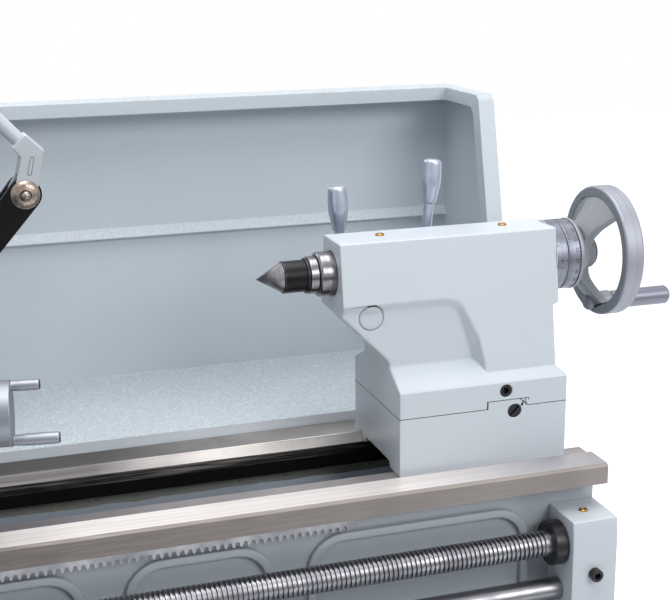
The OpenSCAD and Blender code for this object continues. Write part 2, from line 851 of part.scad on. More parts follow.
// Apron with the places of its handwheel and its two levers
apron_front = -166;
apron_low = -184;
hand_x = saddle_l + 88;
hand_z = -92;
hand_pin = 22;
lever_pin = 18;
nut_x = saddle_l + 235;
nut_z = -60;
sel_x = saddle_l + 185;
sel_z = -110;
module apron() {
  ax0 = saddle_l + 30;
  ax1 = saddle_r - 40;
  color(c_paint) place()
    difference() {
      along_x(ax0, ax1 - ax0)
        polygon([[-half_w - 3, -5.2], [apron_front + 6, -5.2], [apron_front, -12],
          [apron_front, apron_low + 14], [apron_front + 12, apron_low], [-72, apron_low],
          [-72, -34], [-half_w - 3, -34]]);
      shaft_bores(ax0 - 1, ax1 + 1, 0, 2);
      bar_y(hand_x, apron_front - 1, apron_front + 46, hand_z, hand_pin + 2*run_fit);
      bar_y(nut_x, apron_front - 1, apron_front + 26, nut_z, lever_pin + 2*run_fit);
      bar_y(sel_x, apron_front - 1, apron_front + 26, sel_z, lever_pin + 2*run_fit);
    }
}

module wheel_y(x, z, y0, d, grip_len) {
  turn_y(x, y0, z)
    polygon([[0, 0], [22, 0], [22, 12], [17, 14], [17, 20], [d/2 - 14, 24], [d/2 - 14, 20],
      [d/2 - 10, 17], [d/2 - 3, 17], [d/2, 20], [d/2, 28], [d/2 - 3, 31], [d/2 - 10, 31],
      [d/2 - 13, 29], [17, 28], [15, 34], [0, 34]]);
  translate([x, y0 - 30, z + d/2 - 10]) rotate([90, 0, 0]) {
    cylinder(d = 8, h = 6);
    translate([0, 0, 4]) grip(grip_len, 13, 18);
  }
}

module apron_wheel() {
  color(c_alu) place() {
    wheel_y(hand_x, hand_z, apron_front - seat_gap, apron_wheel_d, 62);
    bar_y(hand_x, apron_front - 1, apron_front + 42, hand_z, hand_pin);
  }
}

module small_lever(x, z, a, len) {
  turn_y(x, apron_front - seat_gap, z)
    polygon([[0, 0], [18, 0], [18, 8], [13, 10], [13, 18], [0, 19]]);
  bar_y(x, apron_front - 1, apron_front + 22, z, lever_pin);
  translate([x, apron_front - 14, z]) rotate([12, a, 0]) {
    cylinder(d = 9, h = len);
    translate([0, 0, len - 3]) grip(34, 13, 17);
  }
}

module half_nut_lever() {
  color(c_alu) place() small_lever(nut_x, nut_z, 24, 40);
}

module feed_lever() {
  color(c_alu) place() small_lever(sel_x, sel_z, -12, 46);
}

module cross_slide() {
  cs0 = saddle_top + slide_gap;
  d = tail_w/2 - slide_gap;
  color(c_ground) place()
    difference() {
      union() {
        box([carr_x - 62, saddle_front - 2, cs0], [carr_x + 62, 88, cross_top]);
        along_y(saddle_front - 2, 220)
          polygon([[carr_x - d, cs0 + 1], [carr_x - d, cs0 - 11.8], [carr_x + d, cs0 - 11.8],
            [carr_x + d, cs0 + 1]]);
      }
      bar_y(carr_x, saddle_front - 3, 60, cross_z, cross_pin + 2*run_fit);
      box([carr_x - 63, -122, cross_top - 14], [carr_x - 54, 80, cross_top - 8]);
      box([carr_x + 54, -122, cross_top - 14], [carr_x + 63, 80, cross_top - 8]);
    }
}

module cross_wheel() {
  color(c_alu) place() {
    wheel_y(carr_x, cross_z, bridge_front - 28, cross_wheel_d, 52);
    turn_y(carr_x, bridge_front - 0.3, cross_z)
      polygon([[0, 0], [20, 0], [20, 8], [22, 9], [22, 24], [20, 28.4], [0, 28.4]]);
    bar_y(carr_x, bridge_front - 2, 20, cross_z, cross_pin);
  }
}

module at_swivel() {
  place() translate([wheel_x, wheel_y, 0]) rotate([0, 0, -top_angle]) children();
}

sw_x = -165;
module swivel_base() {
  color(c_ground) at_swivel() {
    bar_z(sw_x, 0, cross_top + slide_gap, 86, 112);
    box([sw_x - 86, -34, 85.9], [sw_x + 78, 34, 94]);
    along_x(sw_x - 86, 164)
      polygon([[-18, 93.9], [18, 93.9], [23, 100.4], [-23, 100.4]]);
  }
}

module top_slide() {
  color(c_ground) at_swivel()
    difference() {
      box([sw_x - 92, -42, 94.2], [sw_x + 104, 42, tool_top]);
      along_x(sw_x - 100, 196)
        polygon([[-18.2, 93], [18.2, 93], [18.2, 93.9], [23.3, 100.7], [-23.3, 100.7], [-18.2, 93.9]]);
      bar_x(sw_x - 40, sw_x + 105, 0, wheel_z, 12 + 2*run_fit);
    }
}

// handwheel of the top slide, its two handles point along its axis
module top_wheel() {
  r = top_wheel_d/2;
  color(c_alu) at_swivel() {
    turn_x(-28, 0, wheel_z) polygon([[0, 0], [r - 1, 0], [r, 1], [r, 27.4], [r - 0.6, 28], [0, 28]]);
    turn_x(-60.7, 0, wheel_z)
      polygon([[0, 0], [18, 0], [19.5, 2], [19.5, 20], [16, 22], [16, 33], [0, 33]]);
    translate([-0.5, 2, wheel_z + 19.4]) rotate([0, 90, 0]) {
      rotate_extrude()
        polygon([[0, 0], [3.6, 0], [3.9, 8], [3.7, 19.4], [3.1, 20.6], [0, 20.6]]);
    }
    translate([-0.5, -3, wheel_z - 19.6]) rotate([0, 90, 0]) {
      rotate_extrude()
        polygon([[0, 0], [3.7, 0], [4.4, 10], [4.5, 20], [4.3, 31.2], [3.6, 32.4], [0, 32.4]]);
    }
    bar_x(sw_x - 30, -55, 0, wheel_z, 12);
  }
}

post_x = sw_x - 18;
module tool_post() {
  color(c_steel) at_swivel()
    difference() {
      union() {
        box([post_x - 38, -38, tool_top + slide_gap], [post_x + 38, 38, 142]);
        box([post_x - 24, -24, 141.9], [post_x + 24, 24, 172]);
        box([post_x - 38, -38, 171.9], [post_x + 38, 38, 184]);
        bar_z(post_x, 0, 183.9, 188, 44);
        for (y = [-26, 0, 26]) {
          bar_z(post_x - 31, y, 157.3, 196, 9);
          bar_z(post_x + 31, y, 170, 196, 9);
        }
      }
      bar_z(post_x, 0, 120, 200, 16 + 2*run_fit);
    }
}

module tool_post_lever() {
  color(c_steel) at_swivel() {
    bar_z(post_x, 0, tool_top + 0.3, 190, 16);
    translate([post_x, 0, 188.3])
      rotate_extrude() polygon([[0, 0], [17, 0], [19, 4], [19, 14], [13, 22], [0, 24]]);
    translate([post_x, 0, 200]) rotate([0, 66, 205]) {
      cylinder(d = 10, h = 66);
      translate([0, 0, 62]) grip(46, 14, 19);
    }
  }
}

module cutting_tool() {
  color(c_steel) at_swivel() {
    box([post_x - 37, -36, 142.2], [post_x - 24.4, 50, 157]);
    along_x(post_x - 37, 12.6)
      polygon([[49.9, 142.2], [58, 150], [64.6, centre_h - 0.4], [58, centre_h], [49.9, 157]]);
  }
}

// Tailstock
module tail_under() {
  polygon([[-tail_front - 1, -1], [-tail_front - 1, slide_gap], [-30.7, slide_gap], [-27.5, 5.5],
    [30, 5.5], [32.6, slide_gap], [inner_r - 1 - slide_gap, slide_gap],
    [inner_r + vee_h - 0.2, vee_h + 0.6], [vee_r - vee_h + 0.6, vee_h + 0.6],
    [vee_r + 0.6, slide_gap], [tail_rear + 1, slide_gap], [tail_rear + 1, -1]]);
}

// clamp bolt, tongue and the two screws, from the left face
bolt_x = 75;
bolt_d = 16;
tongue_x0 = 78.3;
tongue_x1 = 112.8;
tongue_h = 6.4;
setover_x = 103;
setover_z = seam_z - 3.9;
lock_x = 94.9;
lock_z = block_z - 8.2;
module tail_base() {
  color(c_paint) at_tail()
    difference() {
      union() {
        box([0, -tail_front, 0], [tail_len, tail_rear, seam_z]);
        box([tongue_x0, -tail_front, seam_z - 1], [tongue_x1, -24, seam_z + tongue_h]);
      }
      along_x(-1, tail_len + 2) tail_under();
      bar_z(bolt_x, 0, -1, seam_z + 1, bolt_d + 1);
      bar_y(setover_x, -tail_front - 1, -tail_front + 26, setover_z, 12.4);
    }
}

module tail_side() {
  polygon([[-40.8, body_top], [150.4, body_top], [150.4, 131.5], [145.2, 129.5], [145.2, 60],
    [0, 60], [0, 90.6], [-3, 95.6], [-40.8, 134]]);
}

module tail_section() {
  polygon([[-24.5, body_top], [18.1, body_top],
    [18.1 + lean*(body_top - 60), 60], [-24.5 - lean*(body_top - 60), 60]]);
}

module tail_recess() {
  hull() {
    along_y(-28.3, 0.1)
      polygon([[-60, 136.2], [48, 136.2], [56, 133.6], [60.5, 128.5], [63.5, 121], [75.5, 86],
        [75.5, 60], [-60, 60]]);
    along_y(-62.3, 0.1)
      polygon([[-60, 195], [58, 195], [71, 188], [77, 170], [89, 86], [89, 60], [-60, 60]]);
  }
}

slot_top = 66;
nut_d = 22;
// axes of the two levers on the rear face
quill_lever_x = -16.6;
quill_lever_z = centre_h - 4;
clamp_x = 54.7;
clamp_z = 105;
module tail_body() {
  color(c_paint) at_tail()
    difference() {
      union() {
        difference() {
          intersection() {
            along_y(-70, 140) tail_side();
            along_x(-60, 230) tail_section();
          }
          tail_recess();
        }
        box([0, -tail_front, seam_z + seat_gap], [tail_len, tail_rear, block_z]);
        intersection() {
          along_x(0, tail_len)
            polygon([[-tail_front, block_z - 1], [-tail_front, block_z], [-28.2, block_z + 14.8],
              [30, block_z + 14.8], [tail_rear, block_z], [tail_rear, block_z - 1]]);
          along_y(-70, 140)
            polygon([[0, 60], [0, 92], [140, 92], [145.2, 78.5], [tail_len, block_z],
              [tail_len, 60]]);
        }
        bar_x(150, 161, 0, centre_h, dial_d);
      }
      bar_x(-42, 140, 0, centre_h, quill_d + 2*run_fit);
      bar_x(139, 162, 0, centre_h, nut_d + 2*run_fit);
      box([tongue_x0 - 0.3, -tail_front - 1, seam_z],
        [tongue_x1 + 0.3, -16, seam_z + tongue_h + seat_gap]);
      for (y = [-setover, setover]) bar_z(bolt_x, y, seam_z - 1, slot_top, bolt_d + 1);
      box([bolt_x - bolt_d/2 - 0.5, -setover, seam_z - 1],
        [bolt_x + bolt_d/2 + 0.5, setover, slot_top]);
      bar_y(lock_x, -tail_front - 1, -tail_front + 22, lock_z, 11);
      bar_y(quill_lever_x, 20.1, 42, quill_lever_z, 12 + 2*run_fit);
      bar_y(clamp_x, 20, 42, clamp_z, 16 + 2*run_fit);
      translate([-15.5, -28.1, 131.8]) rotate([90, 0, 0])
        difference() {
          translate([0, 0, -1.4]) cylinder(d = 21.6, h = 12);
          translate([0, 0, -2]) cylinder(d = 20.2, h = 14);
        }
    }
}

module tail_clamp() {
  color(c_steel) at_tail() {
    box([35, -47, -38], [115, 44, -20.4]);
    bar_z(bolt_x, 0, -48, slot_top - 1, bolt_d);
    translate([bolt_x, 0, -50]) cylinder(d = 30, h = 12.1, $fn = 6);
  }
}

module clamp_lever() {
  color(c_alu) at_tail() {
    bar_y(clamp_x, 21, 36, clamp_z, 16);
    turn_y(clamp_x, 57, clamp_z) polygon([[0, 0], [12, 0], [14, 2], [14, 22], [0, 22]]);
    translate([clamp_x, 45.3, clamp_z]) rotate([0, 5.01, 0]) {
      cylinder(d = 8.7, h = 108);
      translate([0, 0, 104]) grip(38.2, 11.6, 17.2);
    }
  }
}

module quill_lock_lever() {
  color(c_alu) at_tail() {
    bar_y(quill_lever_x, 20.4, 33, quill_lever_z, 12);
    turn_y(quill_lever_x, 56, quill_lever_z)
      polygon([[0, 0], [9, 0], [11, 2], [11, 26], [0, 26]]);
    translate([quill_lever_x, 45.3, quill_lever_z]) rotate([0, -3.1, 0]) {
      cylinder(d = 9, h = 34);
      translate([0, 0, 29.5]) grip(38.5, 11.6, 17.2);
    }
  }
}

quill_x = -40.8 - quill_out;
module quill() {
  r = quill_d/2;
  color(c_steel) at_tail()
    difference() {
      turn_x(quill_x, 0, centre_h)
        polygon([[12.05, 0], [r - 1.6, 0], [r, 1.6], [r, 186], [10, 186], [10, 86], [10.2, 84]]);
      box([quill_x + 30, -2.5, centre_h - r - 1], [quill_x + 140, 2.5, centre_h - r + 3]);
    }
}

module centre_shank() {
  color(c_steel) at_tail()
    turn_x(quill_x, 0, centre_h)
      polygon([[6.1, -28.6], [13.1, -28.6], [13.1, -7.4], [15.4, -7], [15.4, -0.4], [12, -0.2],
        [10.1, 80], [0, 80], [0, 2], [6.1, 2]]);
}

module live_centre() {
  color(c_steel) at_tail()
    turn_x(quill_x, 0, centre_h)
      polygon([[0, -50], [12.2, -29.2], [12.2, -28.9], [6, -28.9], [6, 1.4], [0, 1.4]]);
}

module tail_screw() {
  color(c_steel) at_tail()
    turn_x(48, 0, centre_h)
      polygon([[0, 0], [9.4, 0], [9.4, 91.4], [11, 92.4], [11, 112.6], [7, 112.8], [7, 147],
        [0, 147]]);
}

module tail_dial() {
  color(c_steel) at_tail()
    turn_x(161.3, 0, centre_h)
      polygon([[11 + run_fit, 0], [dial_d/2 - 0.6, 0], [dial_d/2, 0.6], [dial_d/2, 10.8],
        [dial_d/2 - 0.6, 11.4], [11 + run_fit, 11.4]]);
}

// dished handwheel with two wide webs
module wheel_fan(a) {
  rotate([a, 0, 0])
    intersection() {
      turn_x(0, 0, 0)
        polygon([[14, 182], [24, 183], [49, 203.5], [49, 211], [22, 192], [14, 191]]);
      translate([170, 0, 0]) rotate([90, 0, 90]) linear_extrude(60)
        polygon([[-11, 0], [-13, 14], [-16, 26], [-22, 37], [-33, 50], [33, 50], [22, 37], [16, 26],
          [13, 14], [11, 0]]);
    }
}

// the turning handle's axis on the rim, from the wheel's own
grip_y = 2.7;
grip_z = 9.4 - wheel_d/2;
module tail_handwheel() {
  r = wheel_d/2;
  color(c_alu) at_tail()
    difference() {
      translate([0, 0, centre_h]) {
        turn_x(0, 0, 0)
          polygon([[7 + run_fit, 161.2], [11, 161.2], [11, 172.9], [dial_d/2 + 0.3, 172.9],
            [dial_d/2 + 0.6, 173.6], [dial_d/2 + 0.3, 176.4], [26, 177.4], [16, 187], [14, 190],
            [14, 195.6], [13, 196.6], [7 + run_fit, 196.6]]);
        turn_x(0, 0, 0)
          polygon([[r - 9, 201.4], [r - 1.2, 201.4], [r, 202.8], [r, 217], [r - 1.6, 218.5],
            [r - 7.6, 218.5], [r - 9, 217]]);
        wheel_fan(11);
        wheel_fan(191);
        bar_x(205, 219.5, grip_y, grip_z, handle_d + 1);
      }
      bar_x(200, 230, grip_y, centre_h + grip_z, 8 + 2*run_fit);
      bar_x(198, 209, 15.1, centre_h + grip_z - 1.4, 4.6);
    }
}

module tail_handle() {
  r = handle_d/2;
  color(c_alu) at_tail()
    turn_x(0, grip_y, centre_h + grip_z)
      polygon([[0, 206], [4, 206], [4, 220], [r - 1.8, 220], [r - 0.4, 222], [r, 232],
        [r, 220 + handle_len - 2.4], [r - 2.2, 220 + handle_len], [0, 220 + handle_len]]);
}

module setover_screw() {
  color(c_black) at_tail()
    translate([setover_x, -tail_front + 9, setover_z]) rotate([90, 0, 0])
      difference() {
        cylinder(d = 12, h = 8);
        rotate(45) translate([-8, -0.9, 6]) cube([16, 1.8, 3]);
      }
}

module lock_screw() {
  color(c_black) at_tail()
    translate([lock_x, -tail_front + 9, lock_z]) rotate([90, 0, 0])
      difference() {
        cylinder(d = 10.8, h = 8);
        translate([0, 0, 3]) cylinder(d = 6, h = 6, $fn = 6);
      }
}

// Machine lamp on the carriage
module lamp_base() {
  color(c_black) at_tail() {
    bar_z(lamp_bx, lamp_y, 26.2, 40, 54);
    bar_z(lamp_bx, lamp_y, 39.9, lamp_bz - 20, 26);
    bar_z(lamp_bx, lamp_y, lamp_bz - 21, lamp_bz - 15, 46);
    box([lamp_bx - 12, lamp_y - 19, lamp_bz - 15.1], [lamp_bx + 12, lamp_y - 13.3, lamp_bz + 11]);
    box([lamp_bx - 12, lamp_y + 13.3, lamp_bz - 15.1], [lamp_bx + 12, lamp_y + 19, lamp_bz + 11]);
    bar_y(lamp_bx, lamp_y - 25, lamp_y + 25, lamp_bz, 8);
  }
}

module lamp_arm() {
  color(c_black) at_tail()
    difference() {
      along_y(lamp_y - 13, 26)
        link([lamp_bx, lamp_bz], 11, [lamp_px, lamp_pz], 14);
      along_y(lamp_y - 5.2, 10.4)
        link([lamp_px, lamp_pz], 30, [lamp_px - 26*lamp_ux, lamp_pz - 26*lamp_uz], 16);
      bar_y(lamp_bx, lamp_y - 14, lamp_y + 14, lamp_bz, 8 + 2*run_fit);
      bar_y(lamp_px, lamp_y - 14, lamp_y + 14, lamp_pz, 8 + 2*run_fit);
    }
}

elbow_x = -262.2;
elbow_z = 257.2;
elbow_depth = 16.8;
tube_a = 42;
leg_a = 13.8;
leg_w = 18.6;
leg_len = 18.5;
// the two legs of the elbow meet on the line that halves their bend
mitre = leg_w/2*tan((tube_a + leg_a)/2);
function swung(p, a) = [p[0]*cos(a) + p[1]*sin(a), p[1]*cos(a) - p[0]*sin(a)];

module elbow_outline() {
  r = leg_w/2;
  lower = [for (p = [[-r, -mitre], [-r, -leg_len], [r, -leg_len]]) swung(p, leg_a)];
  upper = [for (p = [[r, -mitre], [r - 1, 13], [r - 1.4, 15.8], [1.4 - r, 15.8], [1 - r, 13]])
    swung(p, -tube_a)];
  polygon(concat(lower, upper));
}

module lamp_elbow() {
  color(c_paint) at_tail() {
    bar_y(lamp_px, lamp_y - 18.4, lamp_y + 18.4, lamp_pz, 8);
    turn_y(lamp_px, lamp_y - 13.3, lamp_pz)
      polygon([[0, 0], [12.6, 0], [12.4, 1.2], [9, 3.6], [4.2, 4.6], [4, 7.6], [0, 7.6]]);
    turn_y(lamp_px, lamp_y + 19.6, lamp_pz)
      polygon([[0, 0], [9, 0], [9, 6.2], [0, 6.2]]);
    along_y(lamp_y - 4.9, 9.8)
      link([lamp_px, lamp_pz], 13.4, [lamp_px + 5.2, lamp_pz + 20], 7.9);
    translate([elbow_x, lamp_y, elbow_z]) {
      difference() {
        along_y(-elbow_depth/2, elbow_depth) elbow_outline();
        rotate([0, leg_a, 0]) box([0.4, -10, -leg_len - 1], [2.4, -7.4, -10]);
      }
      rotate([0, -tube_a, 0]) cylinder(d = lamp_tube_d, h = lamp_tube_len);
    }
  }
}

// the head turns about the end of the tube and shines down to the chuck
head_a = 40;
module lamp_head() {
  color(c_paint) at_tail()
    translate([elbow_x, lamp_y, elbow_z]) rotate([0, -tube_a, 0]) translate([0, 0, lamp_tube_len])
      rotate([0, 0, head_a])
        difference() {
          union() {
            translate([0, 0, -24]) cylinder(d = 22, h = 30);
            translate([0, 0, -9]) rotate([0, -90, 0])
              rotate_extrude()
                polygon([[0, 2], [12, 2], [12, 20], [22, 26], [31, 34], [45, 84], [47, 86],
                  [47, 98], [44, 98], [44, 88], [28, 38], [0, 32]]);
            translate([0, 0, -9]) rotate([0, 90, 0]) cylinder(d = 9, h = 20);
          }
          translate([0, 0, -25]) cylinder(d = lamp_tube_d + 2*run_fit, h = 25.4);
        }
}

// Drawing
bed();
feed_rack();
end_bracket();
splash_guard();
chip_tray();
cabinets();
levelling_feet();
headstock_housing();
headstock_lid();
gearbox_housing();
motor();
control_box();
stop_button();
drive_belt();
gear_cover();
motor_pulley();
input_pulley();
spindle();
idler_gear();
gearbox_gear();
chuck_body();
chuck_jaw_a();
chuck_jaw_b();
chuck_jaw_c();
speed_lever_a();
speed_lever_b();
leadscrew();
feed_rod();
control_rod();
saddle();
apron();
apron_wheel();
half_nut_lever();
feed_lever();
cross_slide();
cross_wheel();
swivel_base();
top_slide();
top_wheel();
tool_post();
tool_post_lever();
cutting_tool();
tail_base();
tail_body();
tail_clamp();
clamp_lever();
quill_lock_lever();
quill();
centre_shank();
live_centre();
tail_screw();
tail_dial();
tail_handwheel();
tail_handle();
setover_screw();
lock_screw();
lamp_base();
lamp_arm();
lamp_elbow();
lamp_head();
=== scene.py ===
# %% [markdown]
# # A metal lathe, seen from its tailstock end
# This lesson dresses a finished construction model of a metal lathe. Every casting, shaft and
# lever already has its real size and place, and nothing here moves them. What is added is what
# the eye looks for: the soft edges of a casting, the grain that a grinder leaves, the numbers
# engraved on a dial. The construction model comes in first, as named pieces in one frame.

# %% Load the construction model
import json
from math import cos, hypot, pi, radians, sin

import bmesh
import bpy
from mathutils import Matrix, Vector

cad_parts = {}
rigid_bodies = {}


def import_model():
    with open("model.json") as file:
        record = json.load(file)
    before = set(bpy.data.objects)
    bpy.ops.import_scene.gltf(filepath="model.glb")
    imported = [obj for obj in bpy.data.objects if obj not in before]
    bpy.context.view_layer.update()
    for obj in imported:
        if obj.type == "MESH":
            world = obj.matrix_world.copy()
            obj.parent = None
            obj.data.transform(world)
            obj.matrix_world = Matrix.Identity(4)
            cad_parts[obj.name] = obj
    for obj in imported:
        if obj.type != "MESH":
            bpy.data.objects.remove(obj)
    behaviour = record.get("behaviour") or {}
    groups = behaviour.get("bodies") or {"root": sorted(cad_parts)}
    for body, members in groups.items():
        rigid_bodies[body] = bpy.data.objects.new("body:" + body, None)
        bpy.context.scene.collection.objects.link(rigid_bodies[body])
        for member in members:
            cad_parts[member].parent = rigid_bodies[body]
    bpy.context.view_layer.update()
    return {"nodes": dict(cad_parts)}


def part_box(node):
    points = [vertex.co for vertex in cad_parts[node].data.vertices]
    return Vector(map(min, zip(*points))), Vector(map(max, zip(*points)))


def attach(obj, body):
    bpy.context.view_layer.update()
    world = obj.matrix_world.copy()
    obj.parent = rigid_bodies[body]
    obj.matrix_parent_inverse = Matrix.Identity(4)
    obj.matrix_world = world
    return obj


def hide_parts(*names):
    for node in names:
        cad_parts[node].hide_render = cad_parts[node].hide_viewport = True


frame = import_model()

# %% [markdown]
# ## Where things are
# A fitter measures a lathe along its bed, from the spindle plane and up from the flat ways, in
# millimetres. The same three distances are used here. The frame's own boxes say where that corner
# lies: the bed's left end, the middle of the quill, and the ways one centre height below it.

# %% Lathe coordinates
MM = 0.001
CENTRE_HEIGHT = 165.0
BED_LENGTH = 1480.0
TAIL_X = 1306.8

bed_low, bed_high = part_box("bed")
quill_low, quill_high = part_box("quill")
quill_middle = (quill_low + quill_high) / 2
corner = Vector((bed_low.x, quill_middle.y, quill_middle.z - CENTRE_HEIGHT * MM))


def at(x, y, z):
    """A point x mm along the bed, y mm behind the spindle plane and z mm above the flat ways."""
    return corner + Vector((x, y, z)) * MM


def tail(x, y, z):
    """The same, counted from the tailstock's left face."""
    return at(TAIL_X + x, y, z)


def show(name, data):
    """Puts a new object into the scene."""
    thing = bpy.data.objects.new(name, data)
    bpy.context.scene.collection.objects.link(thing)
    return thing


print("lathe corner:", [round(v, 4) for v in corner])

# %% [markdown]
# ## The camera
# The photographer stood in front of the carriage and looked along the bed to the right, a little
# down. Position and angles were worked out from edges whose real lengths are known, so they are
# written as a place, a yaw, a pitch and a very small roll.

# %% Camera
CAMERA_PLACE = Vector((0.2060, -1.0027, 1.3858))
YAW, PITCH, ROLL = radians(18.025), radians(15.016), -0.009056
SENSOR_WIDTH, LENS = 36.0, 71.30

forward = Vector((sin(YAW) * cos(PITCH), cos(YAW) * cos(PITCH), -sin(PITCH)))
level_right = Vector((cos(YAW), -sin(YAW), 0))
level_up = level_right.cross(forward)
right = cos(ROLL) * level_right + sin(ROLL) * level_up
up = cos(ROLL) * level_up - sin(ROLL) * level_right

camera = show("camera", bpy.data.cameras.new("camera"))
camera.matrix_world = Matrix.Translation(CAMERA_PLACE) @ Matrix(
    (right, up, -forward)
).transposed().to_4x4()
camera.data.sensor_width = SENSOR_WIDTH
camera.data.lens = LENS
camera.data.clip_start, camera.data.clip_end = 0.02, 60
bpy.context.scene.camera = camera
bpy.context.scene.view_settings.view_transform = "Standard"
print("camera looks along", [round(v, 3) for v in forward])

# %% [markdown]
# ## Studio light
# The machine stands in a white studio. A broad lamp high on the right does most of the work, so
# faces that look to the left fall into soft shade. The white behind it all is seen by the camera
# and by mirrors only, and puts no light on the machine.


# %% Lamps and surroundings
def soft_lamp(name, place, target, width, height, watts):
    lamp = bpy.data.lights.new(name, "AREA")
    lamp.shape, lamp.size, lamp.size_y, lamp.energy = "RECTANGLE", width, height, watts
    holder = show(name, lamp)
    holder.location = place
    holder.rotation_mode = "QUATERNION"
    holder.rotation_quaternion = (Vector(target) - Vector(place)).to_track_quat("-Z", "Y")


def feed(tree, node, inputs):
    """Gives each named input of a node a socket to follow or a fixed value."""
    for label, value in inputs.items():
        if isinstance(value, bpy.types.NodeSocket):
            tree.links.new(value, node.inputs[label])
        else:
            node.inputs[label].default_value = value
    return node


def new_node(tree, kind, inputs, **settings):
    """A new shader node with its own settings and its inputs."""
    node = tree.nodes.new("ShaderNode" + kind)
    for name, value in settings.items():
        setattr(node, name, value)
    return feed(tree, node, inputs)


def direct_sight(tree):
    """1 for a ray that comes from the camera, a mirror or a glass, and 0 for all others."""
    rays = tree.nodes.new("ShaderNodeLightPath")
    total = rays.outputs["Is Camera Ray"]
    for kind in ("Is Glossy Ray", "Is Transmission Ray"):
        larger = tree.nodes.new("ShaderNodeMath")
        larger.operation = "MAXIMUM"
        tree.links.new(total, larger.inputs[0])
        tree.links.new(rays.outputs[kind], larger.inputs[1])
        total = larger.outputs[0]
    return total


soft_lamp("key_light", (1.7, -2.4, 2.5), (0.4, 0.0, 1.0), 1.5, 1.1, 35)
soft_lamp("top_light", (0.5, -0.1, 3.3), (0.3, 0.0, 1.0), 3.0, 1.4, 60)
soft_lamp("rear_light", (-0.8, 2.8, 2.2), (0.0, 0.0, 0.9), 2.2, 1.6, 20)

WORLD_FILL = 0.47
world = bpy.data.worlds.new("studio")
bpy.context.scene.world = world
world.use_nodes = True
sky = world.node_tree
sky.nodes.clear()
fill, white = (
    new_node(sky, "Background", {"Color": colour, "Strength": strength}).outputs[0]
    for colour, strength in (((0.93, 0.96, 1.0, 1), WORLD_FILL), ((1, 1, 1, 1), 1.0))
)
seen = new_node(sky, "MixShader", {"Fac": direct_sight(sky), 1: fill, 2: white})
new_node(sky, "OutputWorld", {"Surface": seen.outputs[0]})
print("studio fill", WORLD_FILL)

# %% [markdown]
# ## The floor
# A plain pale floor catches the machine's shadow. Seen straight on it should be as white as the
# background, so part of what the camera sees there is plain white light of its own.

# %% Floor
FLOOR_HALF = 9.0
floor_mesh = bpy.data.meshes.new("floor")
floor_mesh.from_pydata(
    [(sx * FLOOR_HALF, sy * FLOOR_HALF, 0) for sx, sy in ((-1, -1), (1, -1), (1, 1), (-1, 1))],
    [],
    [(0, 1, 2, 3)],
)
floor = show("floor", floor_mesh)

floor_paint = bpy.data.materials.new("studio_floor")
floor_paint.use_nodes = True
tree = floor_paint.node_tree
base = tree.nodes["Principled BSDF"]
feed(tree, base, {"Base Color": (0.86, 0.87, 0.88, 1), "Roughness": 0.9})
plain = base.outputs[0]
glow = new_node(tree, "Emission", {"Strength": 0.66}).outputs[0]
both = new_node(tree, "AddShader", {0: plain, 1: glow}).outputs[0]
lift = new_node(tree, "MixShader", {"Fac": direct_sight(tree), 1: plain, 2: both})
tree.links.new(lift.outputs[0], tree.nodes["Material Output"].inputs["Surface"])
floor_mesh.materials.append(floor_paint)
print("floor", 2 * FLOOR_HALF, "m wide")

# %% [markdown]
# Polished steel shows what stands round it, and in a room that is white everywhere it looks like
# chalk. A photographer hangs up long dark cards, so that the steel gets its dark bands. These
# two are met by mirrors only: no camera sees them, and they shade nothing.

# %% Dark cards
CARD_BLACK = (0.004, 0.004, 0.005, 1)
for name, y, low, high in (("high_card", -2.9, 2.35, 3.1), ("low_card", -2.4, 0.25, 0.9)):
    mesh = bpy.data.meshes.new(name)
    mesh.from_pydata([(-2.1, y, low), (2.9, y, low), (2.9, y, high), (-2.1, y, high)], [], [(0, 1, 2, 3)])
    card = show(name, mesh)
    card.visible_camera = card.visible_diffuse = card.visible_shadow = False
    card.visible_transmission = False
    black = bpy.data.materials.new(name)
    black.use_nodes = True
    black.node_tree.nodes["Principled BSDF"].inputs["Base Color"].default_value = CARD_BLACK
    mesh.materials.append(black)
print("two dark cards hung")

# %% [markdown]
# ## Shader groups: what several finishes share
# Paint, castings and ground steel all need small unevenness at the right scale. Each effect is a
# node group with named inputs, built once. It gives out masks, heights and tones only, and every
# material decides for itself what to do with them.


# %% Building a group
def shader_group(name, inputs, outputs):
    """An empty node group; inputs holds each label's usual value, and outputs are numbers."""
    group = bpy.data.node_groups.new(name, "ShaderNodeTree")
    for label, value in inputs.items():
        kind = "NodeSocketVector" if isinstance(value, tuple) else "NodeSocketFloat"
        group.interface.new_socket(label, in_out="INPUT", socket_type=kind).default_value = value
    for label in outputs:
        group.interface.new_socket(label, in_out="OUTPUT", socket_type="NodeSocketFloat")
    return group, group.nodes.new("NodeGroupInput").outputs


def give(group, **results):
    """Sends results to the group's outputs, and gives the group."""
    feed(group, group.nodes.new("NodeGroupOutput"), results)
    print(group.name, "ready")
    return group


def calc(tree, operation, *values):
    """The result of a Math node on sockets or numbers."""
    return new_node(tree, "Math", dict(enumerate(values)), operation=operation).outputs[0]


def vector_calc(tree, operation, *values):
    """The result of a Vector Math node on sockets or vectors."""
    node = new_node(tree, "VectorMath", dict(enumerate(values)), operation=operation)
    return node.outputs["Value" if operation == "DOT_PRODUCT" else "Vector"]


def noise(tree, vector, scale, detail=3.0):
    inputs = {"Vector": vector, "Scale": scale, "Detail": detail}
    return new_node(tree, "TexNoise", inputs).outputs["Fac"]


def spread(tree, value, low=0.0, high=1.0, from_low=0.3, from_high=0.7):
    """Stretches a mask or noise to run from low to high."""
    inputs = {"Value": value, "From Min": from_low, "From Max": from_high, "To Min": low, "To Max": high}
    return new_node(tree, "MapRange", inputs).outputs[0]


def where_in(tree):
    """The shaded point, in the object's own metres."""
    return tree.nodes.new("ShaderNodeTexCoord").outputs["Object"]


